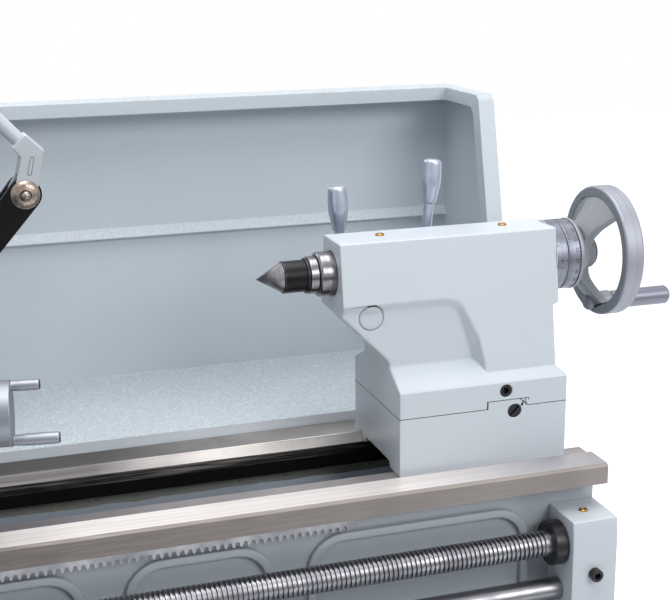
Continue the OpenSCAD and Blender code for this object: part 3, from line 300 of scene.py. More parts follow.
def parts(tree, vector):
    """The X, Y and Z of a vector."""
    return new_node(tree, "SeparateXYZ", {0: vector}).outputs


print("helpers for node groups ready")

# %% [markdown]
# **Orange peel.** Sprayed enamel never dries quite flat. Two layers of noise, one as fine as the
# spray and one as broad as a hand, give a height for the bump and a tone for the colour.

# %% Group: orange peel
tree, given = shader_group("orange_peel", {"Scale": 400.0, "Broad Scale": 6.0}, ("Height", "Tone"))
where = where_in(tree)
fine = noise(tree, where, given["Scale"])
orange_peel = give(tree, Height=fine, Tone=noise(tree, where, given["Broad Scale"], 2.0))

# %% [markdown]
# **Stipple.** The splash guard is sprayed with a textured enamel whose surface is a crowd of
# small soft pimples. A smooth Voronoi texture has one for each cell: it stands highest in the
# cell's middle. The texture is strong on the shelf and fine elsewhere.

# %% Group: stipple
tree, given = shader_group("stipple", {"Scale": 450.0, "On Walls": 0.3}, ("Height", "Tone"))
coords = tree.nodes.new("ShaderNodeTexCoord").outputs
cells = new_node(tree, "TexVoronoi", {"Vector": coords["Object"], "Scale": given["Scale"]},
                 feature="SMOOTH_F1")
pimple = calc(tree, "SUBTRACT", 1.0, cells.outputs["Distance"])
upward = calc(tree, "MAXIMUM", parts(tree, coords["Normal"])["Z"], given["On Walls"])
stipple = give(tree, Height=calc(tree, "MULTIPLY", pimple, upward),
               Tone=noise(tree, coords["Object"], 5.0, 2.0))

# %% [markdown]
# **Machining grain.** A surface grinder draws fine lines along the bed. Noise whose coordinates
# are squeezed in one direction and stretched in the other looks just like it.

# %% Group: machining grain
tree, given = shader_group(
    "machining_grain", {"Along": (8.0, 900.0, 900.0), "Cloud Scale": 14.0}, ("Lines", "Clouds"))
where = where_in(tree)
stretched = vector_calc(tree, "MULTIPLY", where, given["Along"])
machining_grain = give(tree, Lines=noise(tree, stretched, 1.0, 4.0),
                       Clouds=noise(tree, where, given["Cloud Scale"], 4.0))

# %% [markdown]
# **Turning lines.** A part turned in a lathe carries fine rings round its own axis. The group
# turns a point into two distances, along the axis and away from it, and asks the noise for
# those, so that the lines run round. The axis lies along X and passes through a given point.

# %% Group: turning lines
tree, given = shader_group(
    "turning_lines", {"Axis Point": (0.0, 0.0, 0.0), "Fineness": 1800.0}, ("Lines",))
offset = vector_calc(tree, "SUBTRACT", where_in(tree), given["Axis Point"])
x, y, z = parts(tree, offset)
squares = [calc(tree, "MULTIPLY", part, part) for part in (y, z)]
away = calc(tree, "SQRT", calc(tree, "ADD", *squares))
two = new_node(tree, "CombineXYZ", {"X": x, "Y": away}).outputs[0]
turning_lines = give(tree, Lines=noise(tree, two, given["Fineness"]))

# %% [markdown]
# **Cast skin.** Sand leaves a casting slightly lumpy and pitted. Broad soft lumps and small pits
# are added into one height, and the pits alone are given out as a mask for a darker colour.

# %% Group: cast skin
tree, given = shader_group("cast_skin", {"Lump Scale": 60.0, "Pit Scale": 420.0}, ("Height", "Pits"))
where = where_in(tree)
lumps = noise(tree, where, given["Lump Scale"])
grit = noise(tree, where, given["Pit Scale"])
cast_skin = give(tree, Height=calc(tree, "MULTIPLY_ADD", grit, 0.35, lumps),
                 Pits=spread(tree, grit, from_low=0.62, from_high=0.74))

# %% [markdown]
# ** Edge wear and painted highlight.** Hands, rags and swarf polish every outer edge. Cycles can
# tell how much a surface turns within a small radius: the Bevel node's normal leaves the true one
# there. Noise breaks the mask up, so that no edge is worn evenly. The enamels use the mask to
# paint their edges lighter: partly wear, partly a painted highlight for the light edges catch.

# %% Group: edge wear and painted highlight
tree, given = shader_group("edge_wear", {"Reach": 0.0008, "Amount": 4.0}, ("Mask",))
round_normal = new_node(tree, "Bevel", {"Radius": given["Reach"]}, samples=3).outputs[0]
true_normal = tree.nodes.new("ShaderNodeNewGeometry").outputs["Normal"]
agree = vector_calc(tree, "DOT_PRODUCT", round_normal, true_normal)
strength = calc(tree, "MULTIPLY", calc(tree, "SUBTRACT", 1.0, agree), given["Amount"])
lit_and_worn_edges = calc(tree, "MULTIPLY", strength, noise(tree, where_in(tree), 90.0))
edge_wear = give(tree, Mask=calc(tree, "MINIMUM", lit_and_worn_edges, 1.0))

# %% [markdown]
# ## Finishes
# Each finish is one material. It starts from a plain shader with its constants on the shader's
# own sockets, and the groups above then vary colour, roughness and height over the surface.


# %% Helpers for a finish
def tint(*rgb):
    """A colour given as it looks on screen, from 0 to 255, as the linear values Blender wants."""
    shares = [c / 255 for c in rgb]
    return tuple(s / 12.92 if s <= 0.04045 else ((s + 0.055) / 1.055) ** 2.4 for s in shares) + (1.0,)


finishes = {}


def finish(name, metallic=0.0):
    """The node tree of a new material, which pieces find in the finishes by its name."""
    made = finishes[name] = bpy.data.materials.new(name)
    made.use_nodes = True
    feed(made.node_tree, made.node_tree.nodes["Principled BSDF"], {"Metallic": metallic})
    return made.node_tree


def put(tree, group, **values):
    """Places a group in a material; an input's label is written with underscores."""
    inputs = {label.replace("_", " "): value for label, value in values.items()}
    return new_node(tree, "Group", inputs, node_tree=group).outputs


def mixed(tree, factor, first, second):
    """Colour between two others; each is a socket, a linear colour, or three values as on screen."""
    first, second = (tint(*end) if isinstance(end, tuple) and len(end) == 3 else end
                     for end in (first, second))
    return new_node(tree, "Mix", {0: factor, 6: first, 7: second}, data_type="RGBA").outputs[2]


def dress(tree, colour, roughness, height, strength, depth):
    """Gives the shader its colour, its roughness and a bump, in metres of depth."""
    relief = new_node(tree, "Bump", {"Strength": strength, "Distance": depth, "Height": height})
    feed(tree, tree.nodes["Principled BSDF"],
         {"Base Color": colour, "Roughness": roughness, "Normal": relief.outputs[0]})
    return relief


print("finish helpers ready")

# %% [markdown]
# **Machine enamel.** The castings wear a pale blue-grey gloss enamel. Its tone drifts very little
# over a hand's width, and the orange peel breaks the reflections up.


# %% Enamels
def enamel(name, colour, darker, peel=260.0, soften=0.0):
    """Sprayed gloss enamel; soften is how far, in metres, the shading flows round a corner."""
    tree = finish(name)
    skin = put(tree, orange_peel, Scale=peel, Broad_Scale=7.0)
    painted = mixed(tree, spread(tree, skin["Tone"]), colour, darker)
    # Painted highlight: outer edges are mixed towards a lighter tone, partly for wear and partly for the
    # light that edges catch.
    pale = tuple(min(1.0, c * 1.22) for c in tint(*colour))
    lit_and_worn_edges = mixed(tree, put(tree, edge_wear, Reach=0.0009, Amount=1.6)["Mask"], painted, pale)
    relief = dress(tree, lit_and_worn_edges, spread(tree, skin["Tone"], 0.30, 0.42), skin["Height"], 0.35, 0.00009)
    if soften:
        flow = new_node(tree, "Bevel", {"Radius": soften}, samples=8)
        tree.links.new(flow.outputs[0], relief.inputs["Normal"])


for name, flow in (("machine_enamel", 0.0), ("hollow_enamel", 0.0042)):
    enamel(name, (197, 204, 211), (193, 200, 207), soften=flow)
enamel("lamp_enamel", (190, 196, 203), (184, 190, 197), 300.0)
# Painted shade: the bed and its side panels get a darker copy of the machine enamel, for the shade under the
# ways.
enamel("bed_enamel", (176, 183, 190), (171, 178, 185))
print("four enamels mixed")

# %% Textured enamel of the guard
# Painted shade: on flat tops, where the pimples stand up, the colour turns darker for the shade they cast on
# one another.
tree = finish("guard_enamel")
skin = put(tree, stipple, Scale=520.0, On_Walls=0.28)
pimple = skin["Height"]
smooth = mixed(tree, spread(tree, skin["Tone"]), (199, 207, 214), (193, 202, 208))
painted = mixed(tree, spread(tree, pimple, from_low=0.25, from_high=0.85), smooth, (164, 172, 179))
dress(tree, painted, spread(tree, pimple, 0.46, 0.36, 0.2, 0.9), pimple, 0.6, 0.0006)
print("textured enamel mixed")

# %% [markdown]
# **Ground and turned metal.** Ground iron is bright and warm with long lines, turned steel is
# dark and mirror-like between its rings, and the wheels are satin aluminium with a trace of blue.


# %% Metals
SPINDLE_LINE = at(0, 0, CENTRE_HEIGHT)
LONG_LINES, EVEN_LINES, SATIN = (6.0, 700.0, 700.0), (60.0, 60.0, 60.0), (0.28, 0.45)


def ground_metal(name, bright, dull, along, roughness=SATIN, metallic=1.0, far=None,
                 fade=(950.0, BED_LENGTH)):
    """Metal with grinding lines; along fade, in mm of the bed's length, its tone turns into far."""
    tree = finish(name, metallic)
    grain = put(tree, machining_grain, Along=along, Cloud_Scale=16.0)
    lines = grain["Lines"]
    streaked = mixed(tree, spread(tree, lines), bright, dull)
    # Painted reflection and shade: the tone turns from near to far along the bed the way the ways'
    # reflections and shade do.
    if far:
        ends = (at(x, 0, 0).x for x in fade)
        share = spread(tree, parts(tree, where_in(tree))["X"], 0.0, 1.0, *ends)
        streaked = mixed(tree, share, streaked, far)
    clouded = mixed(tree, spread(tree, grain["Clouds"], 0.0, 0.35, 0.45, 0.7), streaked, dull)
    dress(tree, clouded, spread(tree, lines, *roughness), lines, 0.5, 0.00002)


def turned_metal(name, bright, dull, roughness, fineness, depth=0.00002):
    """Metal with turning lines round the spindle's axis."""
    tree = finish(name, 1.0)
    lines = put(tree, turning_lines, Axis_Point=SPINDLE_LINE, Fineness=fineness)["Lines"]
    tones = mixed(tree, spread(tree, lines), bright, dull)
    dress(tree, tones, spread(tree, lines, *roughness), lines, 0.4, depth)


# On the bed's ways the near and far tones are painted reflection and shade; the front way's near-white tone
# is a painted highlight.
# name, tone, tone between the lines, stretch of the lines, roughness, metallic, far tone, where it fades
for row in (
    ("rear_flat", (116, 111, 108), (104, 99, 96), LONG_LINES, SATIN, 1.0, (192, 185, 181), (1080, 1215)),
    ("rear_vee", (76, 74, 75), (64, 62, 63), LONG_LINES, SATIN, 1.0, (172, 168, 165), (1070, 1210)),
    ("front_flat", (120, 115, 117), (106, 101, 103), LONG_LINES, (0.35, 0.5), 0.7, (172, 164, 164),
     (1000, 1200)),
    ("front_way", (255, 248, 244), (218, 210, 205), LONG_LINES, (0.3, 0.45), 0.4, (162, 160, 165),
     (1300, 1440)),
    ("way_flank", (124, 118, 115), (108, 102, 99), (30.0, 500.0, 500.0), (0.42, 0.6), 0.75, (146, 140, 137)),
    ("slide_iron", (166, 163, 161), (138, 135, 133), (500.0, 20.0, 500.0)),
    ("plain_steel", (158, 158, 162), (124, 124, 130), EVEN_LINES),
    ("grip_steel", (190, 197, 213), (170, 177, 192), EVEN_LINES, (0.3, 0.42)),
):
    ground_metal(*row)
# name, tone, tone between the lines, roughness, fineness, depth of the lines
for row in (
    ("bright_steel", (138, 136, 141), (106, 104, 109), (0.2, 0.3), 1500.0, 0.000002),
    ("centre_steel", (156, 154, 158), (130, 128, 132), (0.32, 0.4), 1500.0, 0.000002),
    ("satin_aluminium", (134, 137, 148), (116, 119, 130), (0.36, 0.5), 2600.0),
    ("rim_aluminium", (161, 164, 174), (140, 143, 152), (0.5, 0.62), 2600.0),
    ("wheel_aluminium", (150, 153, 163), (130, 133, 142), (0.4, 0.55), 2600.0),
    ("nickel", (168, 154, 143), (130, 118, 109), (0.22, 0.38), 900.0),
):
    turned_metal(*row)
print("metals ready, turned lines round", [round(v, 3) for v in SPINDLE_LINE])


# %% Castings, oxide, plastic, rubber, brass
def speckled(name, colour, pits, roughness, scales=(200, 900), depth=0.00004, metallic=0.0, mirror=0.5):
    """A finish with lumps and pits: bare castings, black oxide, moulded plastic and rubber."""
    tree = finish(name, metallic)
    skin = put(tree, cast_skin, Lump_Scale=scales[0], Pit_Scale=scales[1])
    tones = mixed(tree, skin["Pits"], colour, pits)
    dress(tree, tones, spread(tree, skin["Height"], *roughness, 0.4, 0.9), skin["Height"], 0.5, depth)
    feed(tree, tree.nodes["Principled BSDF"], {"Specular IOR Level": mirror})


# name, tone, tone of the pits, roughness, scales of lumps and pits, depth, metallic, mirror
for row in (
    ("cast_aluminium", (142, 147, 152), (100, 102, 102), (0.46, 0.62), (110, 700), 0.0003, 0.6),
    # Painted shade: the gap's walls are coloured near black, with little mirror, for the deep shade in the
    # gap.
    ("gap_black", (7, 8, 10), (16, 16, 18), (0.75, 0.95), (60, 300), 0.0003, 0.0, 0.12),
    ("black_oxide", (40, 40, 44), (70, 69, 72), (0.24, 0.42), (200, 900), 0.00005, 0.5),
    ("black_enamel", (8, 8, 10), (12, 12, 14), (0.3, 0.45), (120, 600), 0.0001, 0.0, 0.2),
    ("black_plastic", (26, 26, 28), (40, 40, 42), (0.35, 0.5), (150, 1200), 0.0001),
    ("red_plastic", (176, 28, 24), (150, 20, 18), (0.25, 0.4), (150, 900), 0.0001),
    ("red_point", (112, 38, 38), (84, 26, 26), (0.3, 0.5), (150, 900), 0.0001),
    ("rubber", (34, 33, 34), (52, 51, 51), (0.6, 0.8), (200, 900), 0.0002),
    ("white_marks", (222, 224, 226), (200, 202, 204), (0.4, 0.5)),
    ("dark_marks", (34, 35, 40), (24, 25, 28), (0.5, 0.65)),
    # Dark seams are joints; in the vent slots the same black is painted shade.
    ("seam_black", (30, 32, 36), (50, 52, 56), (0.6, 0.8)),
    ("oil_glass", (176, 150, 84), (150, 122, 60), (0.04, 0.1), (30, 200), 0.00002),
    ("lamp_glass", (226, 229, 232), (214, 218, 222), (0.12, 0.2), (90, 300), 0.0001),
    ("green_lens", (40, 130, 74), (28, 104, 58), (0.08, 0.16), (60, 400), 0.00003),
    ("brass", (168, 128, 78), (96, 66, 34), (0.25, 0.45), (300, 1400), 0.00008, 1.0),
):
    speckled(*row)
print("speckled finishes ready")

# %% [markdown]
# Two paints belong to the gap between the ways. Under the rear way there is dirty paint over red
# primer, and below a ragged line the enamel is clean, painted lighter towards the tailstock as
# painted light. The wall above it was brushed black.

# %% Old paint under the rear way
PAINT_LINE, SOFT_LINE = -33.5, 0.0003
tree = finish("old_paint")
skin = put(tree, cast_skin, Lump_Scale=70.0, Pit_Scale=240.0)
where = where_in(tree)
streaks = vector_calc(tree, "MULTIPLY", where, (12.0, 90.0, 90.0))
primer = spread(tree, noise(tree, streaks, 1.0), from_low=0.60, from_high=0.66)
dirty = mixed(tree, skin["Pits"], (140, 143, 134), (52, 51, 49))
rusty = mixed(tree, primer, dirty, (150, 96, 80))
x, y, z = parts(tree, where)
ragged = calc(tree, "MULTIPLY_ADD", noise(tree, streaks, 2.2, 4.0), 0.006, z)
line = at(0, 0, PAINT_LINE).z + 0.003
clean = spread(tree, ragged, 1.0, 0.0, line - SOFT_LINE, line + SOFT_LINE)
# Painted light: the clean enamel turns much lighter towards the tailstock.
painted_light_share = spread(tree, x, 0.0, 1.0, at(1200, 0, 0).x, at(1290, 0, 0).x)
enamelled = mixed(tree, painted_light_share, (176, 186, 198), (228, 238, 250))
dress(tree, mixed(tree, clean, rusty, enamelled), 0.55, skin["Height"], 0.8, 0.0008)

# %% Brushed black on the wall of the gap
tree = finish("brushed_black")
strokes = put(tree, machining_grain, Along=(14.0, 500.0, 420.0), Cloud_Scale=30.0)
gleam = spread(tree, strokes["Lines"], from_low=0.5, from_high=0.72)
dress(tree, mixed(tree, gleam, (20, 20, 22), (118, 112, 110)),
      spread(tree, strokes["Clouds"], 0.28, 0.6), strokes["Lines"], 0.9, 0.0012)
print("finishes in all:", len(finishes))

# %% [markdown]
# ## Softening the construction pieces
# The construction model has razor edges, and no real casting does. Each node's mesh is copied,
# its split corners are welded, flat triangles are joined into whole faces, and the sharp edges
# get a narrow bevel. Every edge has a width of its own, never more than two fifths of the
# shortest edge it runs into, so small grooves stay crisp while big corners turn soft.


# %% Piece helpers
SMOOTH_BELOW, EDGE_ANGLE = 38.0, 32.0
LARGEST_SHARE, NEARLY_PARALLEL = 0.4, 0.85
THINNEST_BEVEL, THINNEST_TRIED, GROWTH = 0.04, 0.1, 2e-5


def finish_piece(name, bm, coats, node, replaces=()):
    """Turns a bmesh into a scene piece on a node's body; coats names its finishes."""
    mesh = bpy.data.meshes.new(name)
    bmesh.ops.recalc_face_normals(bm, faces=bm.faces)
    bm.to_mesh(mesh)
    bm.free()
    for coat in coats.split():
        mesh.materials.append(finishes[coat])
    mesh.shade_smooth()
    mesh.set_sharp_from_angle(angle=radians(SMOOTH_BELOW))
    piece = show(name, mesh)
    body = frame["nodes"][node].parent.name.split(":", 1)[1]
    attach(piece, body)
    if replaces:
        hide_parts(*replaces)
    piece.modifiers.new("even_shading", "WEIGHTED_NORMAL").keep_sharp = True


def whole_mesh(node):
    """The node's mesh with its corners welded and its flat faces joined."""
    bm = bmesh.new()
    bm.from_mesh(frame["nodes"][node].data)
    bmesh.ops.remove_doubles(bm, verts=bm.verts, dist=2e-6)
    bmesh.ops.dissolve_limit(bm, angle_limit=radians(0.4), verts=bm.verts, edges=bm.edges)
    return bm


def direction(edge):
    return (edge.verts[1].co - edge.verts[0].co).normalized()


def edge_widths(bm, width, angle, own_width=None):
    """A bevel width in mm for each sharp edge; own_width(edge) may overrule it."""
    wanted = {}
    for edge in bm.edges:
        if len(edge.link_faces) != 2 or edge.calc_face_angle(0.0) <= radians(angle):
            continue
        along = direction(edge)
        crossing = [other.calc_length() for vert in edge.verts for other in vert.link_edges
                    if other is not edge and abs(direction(other).dot(along)) < NEARLY_PARALLEL]
        chosen = own_width(edge) if own_width else None
        limit = LARGEST_SHARE * min(crossing, default=1) / MM
        wanted[edge] = min(width if chosen is None else chosen, limit)
    return wanted


def as_shown(thing):
    """The mesh that an object has in the end, with its modifiers."""
    return bpy.data.meshes.new_from_object(thing.evaluated_get(bpy.context.evaluated_depsgraph_get()))


def bevelled(bm, wanted, segments=2):
    """Runs Blender's bevel with those widths and gives the new bmesh."""
    widest = max(wanted.values(), default=0)
    if widest < THINNEST_BEVEL:
        return bm
    bm.edges.index_update()
    by_number = {edge.index: width for edge, width in wanted.items()}
    weight = bm.edges.layers.float.new("bevel_weight_edge")
    for edge in bm.edges:
        edge[weight] = by_number.get(edge.index, 0.0) / widest
    sharp = bpy.data.meshes.new("rough")
    bm.to_mesh(sharp)
    bm.free()
    rough = show("rough", sharp)
    cut = rough.modifiers.new("cut", "BEVEL")
    cut.limit_method, cut.width, cut.segments = "WEIGHT", widest * MM, segments
    cut.use_clamp_overlap = False
    soft = as_shown(rough)
    done = bmesh.new()
    done.from_mesh(soft)
    bpy.data.objects.remove(rough)
    for mesh in (sharp, soft):
        bpy.data.meshes.remove(mesh)
    return done


def grew(bm, low, high):
    return any(not low[a] - GROWTH <= v.co[a] <= high[a] + GROWTH for v in bm.verts for a in range(3))


def softened(node, coats, width, pick=None, segments=2, angle=EDGE_ANGLE, own_width=None, prepare=None):
    """A copy of a node with bevelled edges; pick(middle, normal) gives a face's material."""
    low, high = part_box(node)
    while True:
        bm = whole_mesh(node)
        if prepare:
            prepare(bm)
        if width >= THINNEST_TRIED:
            bm = bevelled(bm, edge_widths(bm, width, angle, own_width), segments)
        if not grew(bm, low, high) or width < THINNEST_TRIED:
            break
        bm.free()
        width /= 2
    if pick:
        bm.normal_update()
        for face in bm.faces:
            face.material_index = pick((face.calc_center_median() - corner) / MM, face.normal)
    finish_piece(node + "_finished", bm, coats, node, (node,))
    widths[node] = round(width, 2)


widths = {}
print("piece helpers ready")

# %% [markdown]
# Small fittings are built from scratch. A maker gathers solids for one piece: turned forms,
# prisms, frames and figures. Its measures are millimetres from the lathe's corner, or from
# another corner that it is given.


# %% A maker of small fittings
RIGHT, FRONT, REAR, UP = (1, 0, 0), (0, -1, 0), (0, 1, 0), (0, 0, 1)


def polygon_radius(radius, turn, corners):
    """How far a regular polygon reaches at an angle, when its corners lie on the radius."""
    half = pi / corners
    return radius * cos(half) / cos(turn % (2 * half) - half)


def rounded(a0, b0, a1, b1, radius, steps=4):
    """The outline of a rounded rectangle."""
    points = []
    for ca, cb, start in ((a1 - radius, b1 - radius, 0), (a0 + radius, b1 - radius, 90),
                          (a0 + radius, b0 + radius, 180), (a1 - radius, b0 + radius, 270)):
        for step in range(steps + 1):
            turn = radians(start + 90 * step / steps)
            points.append((ca + radius * cos(turn), cb + radius * sin(turn)))
    return points


class Maker:
    def __init__(self, place=at):
        self.bm = bmesh.new()
        self.place = place

    def corner(self, *point):
        return self.bm.verts.new(self.place(*point))

    def face(self, corners, paint):
        different = list(dict.fromkeys(corners))
        if len(different) > 2:
            self.bm.faces.new(different).material_index = paint

    def turned(self, start, axis, profile, paint=0, steps=32):
        """Rows are (distance along the axis, radius) and, for a nut, the number of corners."""
        axis = Vector(axis).normalized()
        side = axis.orthogonal().normalized()
        other = axis.cross(side)
        rings = []
        for along, radius, *corners in profile:
            ring = []
            for step in range(steps if radius > 1e-4 else 1):
                turn = 2 * pi * step / steps
                reach = polygon_radius(radius, turn, corners[0]) if corners else radius
                away = (side * cos(turn) + other * sin(turn)) * reach
                ring.append(self.corner(*(Vector(start) + axis * along + away)))
            rings.append(ring)
        if len(rings[0]) > 1 and len(rings[-1]) > 1:
            rings.append(rings[0])
        for a, b in zip(rings, rings[1:]):
            self.wall(a, b, paint)

    def solid(self, start, axis, profile, paint=0, steps=32):
        """The same, with both ends closed down to the axis."""
        self.turned(start, axis, [(profile[0][0], 0), *profile, (profile[-1][0], 0)], paint, steps)

    def wall(self, a, b, paint):
        """Faces between two rings of corners, or between a ring and a point."""
        count = max(len(a), len(b))
        for here in range(count):
            there = (here + 1) % count
            self.face([a[here % len(a)], a[there % len(a)], b[there % len(b)], b[here % len(b)]], paint)

    def lifted(self, outline, axis, level):
        """The corners of an outline in the two other directions, at a level on an axis."""
        return [self.corner(*point[:axis], level, *point[axis:]) for point in outline]

    def prism(self, outline, axis, low, high, paint=0):
        """An outline pushed from low to high along an axis."""
        ends = [self.lifted(outline, axis, level) for level in (low, high)]
        for end in ends:
            self.face(end, paint)
        self.wall(*ends, paint)

    def slab(self, low, high, paint=0):
        self.prism([(low[0], low[1]), (high[0], low[1]), (high[0], high[1]), (low[0], high[1])],
                   2, low[2], high[2], paint)

    def frame(self, outer, inner, axis, low, high, paint=0):
        """A flat ring between two outlines with as many points."""
        rings = [self.lifted(outline, axis, level)
                 for outline, level in ((outer, low), (outer, high), (inner, high), (inner, low))]
        for a, b in zip(rings, rings[1:] + rings[:1]):
            self.wall(a, b, paint)

    def plate(self, points, faces, lay, paint=0, rise=0.04, depth=0.25):
        """Flat faces as a thin solid; lay(u, v, w) bends a flat point onto the surface."""
        top, low = ([self.bm.verts.new(lay(u, v, w)) for u, v in points] for w in (rise, -depth))
        used = {}
        for face in faces:
            self.face([top[i] for i in face], paint)
            self.face([low[i] for i in face], paint)
            for a, b in zip(face, face[1:] + face[:1]):
                used.setdefault(frozenset((a, b)), []).append((a, b))
        for (a, b), *others in used.values():
            if not others:
                self.face([top[a], top[b], low[b], low[a]], paint)

    def figures(self, text, height, lay, paint=0):
        """Engraved digits."""
        points, faces = digits(text)
        self.plate([(u * height, v * height) for u, v in points], faces, lay, paint)

    def bar_mark(self, u0, u1, v0, v1, lay, paint=0):
        """One engraved line."""
        self.plate([(u0, v0), (u1, v0), (u1, v1), (u0, v1)], [[0, 1, 2, 3]], lay, paint)

    def dial(self, divisions, lay, half, tall, marks_at, figures_at, every=5, worth=1, height=3.0, paint=0):
        """A ring of marks with figures; tall is for plain marks, each fifth one and each tenth."""
        for count in range(divisions):
            turn = 2 * pi * count / divisions
            reach = tall[(count % 5 == 0) + (count % 10 == 0)]
            self.bar_mark(-half, half, 0, reach, lay(turn, marks_at), paint)
            if count % every == 0:
                self.figures("%g" % (count * worth), height, lay(turn, figures_at), paint)

    def socket_screw(self, point, axis, size, paint=0):
        """A round head with a hexagon socket."""
        head, rim, key = size * 0.55, size / 2, size * 0.29
        self.solid(point, axis, [(0, rim), (head - 0.4, rim), (head, rim - 0.4), (head, key, 6),
                                 (head * 0.4, key, 6)], paint, 24)

    def screws(self, xs, y, zs, axis, size, paint=0):
        """Socket screws in rows on an upright face."""
        for x in xs:
            for z in zs:
                self.socket_screw((x, y, z), axis, size, paint)

    def hex_bolt(self, point, axis, size, paint=0):
        """A washer and a hexagon head."""
        self.solid(point, axis, [(0, size * 0.68), (1.2, size * 0.68), (1.4, size * 0.55, 6),
                                 (size * 0.42, size * 0.55, 6), (size * 0.46, size * 0.48)], paint, 24)

    def oiler(self, point, size=3.8, ring=0, ball=1):
        """A pressed-in oil nipple: a dished brass ring with a steel ball."""
        self.solid(point, UP, [(-2, size), (0.8, size), (1.5, size - 0.7), (1.5, size - 1.7),
                               (0.7, size - 2.1)], ring, 28)
        self.turned(point, UP, [(0.2, 0), (0.5, 1.1), (1.1, 0.8), (1.4, 0.3), (1.45, 0)], ball, 16)

    def done(self, name, coats, node, replaces=(), width=0.0):
        """Closes the piece and hangs it on a node's body."""
        bm = self.bm
        bmesh.ops.recalc_face_normals(bm, faces=bm.faces)
        if width:
            bm = bevelled(bm, edge_widths(bm, width, EDGE_ANGLE))
        made[name] = len(bm.faces)
        finish_piece(name, bm, coats, node, replaces)


DIGIT_HEIGHT = 0.69


def digits(text, cache={}):
    """Blender's built-in figures, one unit high, as flat points and faces."""
    if text not in cache:
        curve = bpy.data.curves.new("figures", "FONT")
        curve.body, curve.resolution_u = text, 2
        curve.align_x, curve.align_y = "CENTER", "CENTER"
        holder = show("figures", curve)
        flat = as_shown(holder)
        cache[text] = ([(v.co.x / DIGIT_HEIGHT, v.co.y / DIGIT_HEIGHT) for v in flat.vertices],
                       [list(p.vertices) for p in flat.polygons])
        bpy.data.objects.remove(holder)
        bpy.data.curves.remove(curve)
        bpy.data.meshes.remove(flat)
    return cache[text]


def ring(outer, height, inner):
    """The profile of a flat ring."""
    return [(0, inner), (0, outer), (height, outer), (height, inner)]


made = {}
print("maker ready")

# %% [markdown]
# ## Plain nodes
# Most nodes need nothing but soft edges and the right finish. Two of them have more than one:
# the elbow of the lamp carries a nickel disc, and the centre's shank a blackened sleeve.

# %% Plain nodes and their finishes
LAMP_Y, PIVOT_X, PIVOT_Z = 138, -270.6, 223.7
QUILL_FACE = -54.4


def lamp_pick(m, n):
    return int(m.y < 125.4 and (m.x - TAIL_X - PIVOT_X) ** 2 + (m.z - PIVOT_Z) ** 2 < 170)


def shank_pick(m, n):
    return int(m.x < TAIL_X + QUILL_FACE - 7.3)


for coat, width, nodes in (
    ("machine_enamel", 1.2, "end_bracket"),
    ("machine_enamel", 3.0, "headstock_housing"),
    ("machine_enamel", 2.0, "headstock_lid"),
    ("machine_enamel", 2.5, "gearbox_housing"),
    ("machine_enamel", 2.0, "cabinets apron"),
    ("machine_enamel", 0.8, "lamp_base"),
    ("machine_enamel", 1.5, "saddle"),
    ("guard_enamel", 0.6, "splash_guard"),
    ("guard_enamel", 0.8, "chip_tray"),
    ("plain_steel", 0.3, "chuck_jaw_a chuck_jaw_b chuck_jaw_c feed_rack gearbox_gear idler_gear tail_clamp "
                         "tool_post_lever levelling_feet cutting_tool control_rod feed_rod"),
    ("bright_steel", 0.5, "chuck_body spindle quill tail_screw"),
    ("slide_iron", 0.8, "cross_slide swivel_base top_slide"),
    ("black_oxide", 0.3, "lock_screw setover_screw motor_pulley input_pulley tool_post"),
    ("satin_aluminium", 0.4, "apron_wheel cross_wheel tail_dial tail_handle"),
    ("wheel_aluminium", 0.4, "top_wheel"),
    ("grip_steel", 0.4, "clamp_lever quill_lock_lever feed_lever half_nut_lever speed_lever_a speed_lever_b"),
    ("black_enamel", 1.0, "motor"),
    ("black_enamel", 0.6, "lamp_arm"),
    ("black_plastic", 1.0, "control_box"),
    ("red_plastic", 0.6, "stop_button"),
    ("rubber", 0.3, "drive_belt"),
    ("lamp_enamel", 0.6, "lamp_head"),
):
    for node in nodes.split():
        softened(node, coat, width)
softened("lamp_elbow", "lamp_enamel nickel", 0.5, lamp_pick)
softened("centre_shank", "bright_steel black_enamel", 0.3, shank_pick)
softened("live_centre", "centre_steel", 0.2)
print("edge widths used, mm:", widths)

# %% [markdown]
# ## The tailstock
# Its two halves meet in a seam like a pencil line, so the edges along it stay sharp and a dark
# strip lies in it. The hollow in the side keeps the soft shoulders of its pattern, and the
# round boss behind the dial is bare turned metal. The wheel is machined on its rim only.

# %% Tailstock castings
SEAM_Z, SEAM_TOP = 50.3, 56.8
FRONT_Y, REAR_Y, LENGTH = -53.4, 59.6, 151.0


def middle_mm(edge):
    return ((edge.verts[0].co + edge.verts[1].co) / 2 - corner) / MM


def near_seam(edge):
    m = middle_mm(edge)
    return 0.25 if SEAM_Z - 1 < m.z < SEAM_TOP + 1 and abs(direction(edge).z) < 0.5 else None


def body_edges(edge):
    """Nearly sharp at the bore's inner end, narrow round the bare boss."""
    m = middle_mm(edge)
    if 130 < m.x - TAIL_X < 145 and hypot(m.y, m.z - CENTRE_HEIGHT) < 20:
        return 0.05
    return 0.5 if m.x - TAIL_X > 149.8 and m.z > 130 else near_seam(edge)


def body_pick(m, n):
    """1 for the bare turned boss, 2 for the hollow and the ledge under it, 0 for the rest."""
    x = m.x - TAIL_X
    if x > 150.6:
        return 1
    hollow = x < 84 and 73.5 < m.z < 141 and -46 < m.y < -26 and n.x > -0.7
    ledge = 72.9 < m.z < 88 and n.z > 0.4 and m.y < -27
    return 2 if hollow or ledge else 0


softened("tail_base", "machine_enamel", 0.9, own_width=near_seam)
softened("tail_body", "machine_enamel satin_aluminium hollow_enamel", 1.2, body_pick, segments=3,
         angle=16.0, own_width=body_edges)


def wheel_pick(middle, normal):
    away = hypot(middle.y, middle.z - CENTRE_HEIGHT)
    return 0 if away > 55.2 or middle.x < TAIL_X + 176.2 or (away > 46 and abs(normal.x) > 0.9) else 1


softened("tail_handwheel", "rim_aluminium cast_aluminium", 1.0, wheel_pick, segments=3)

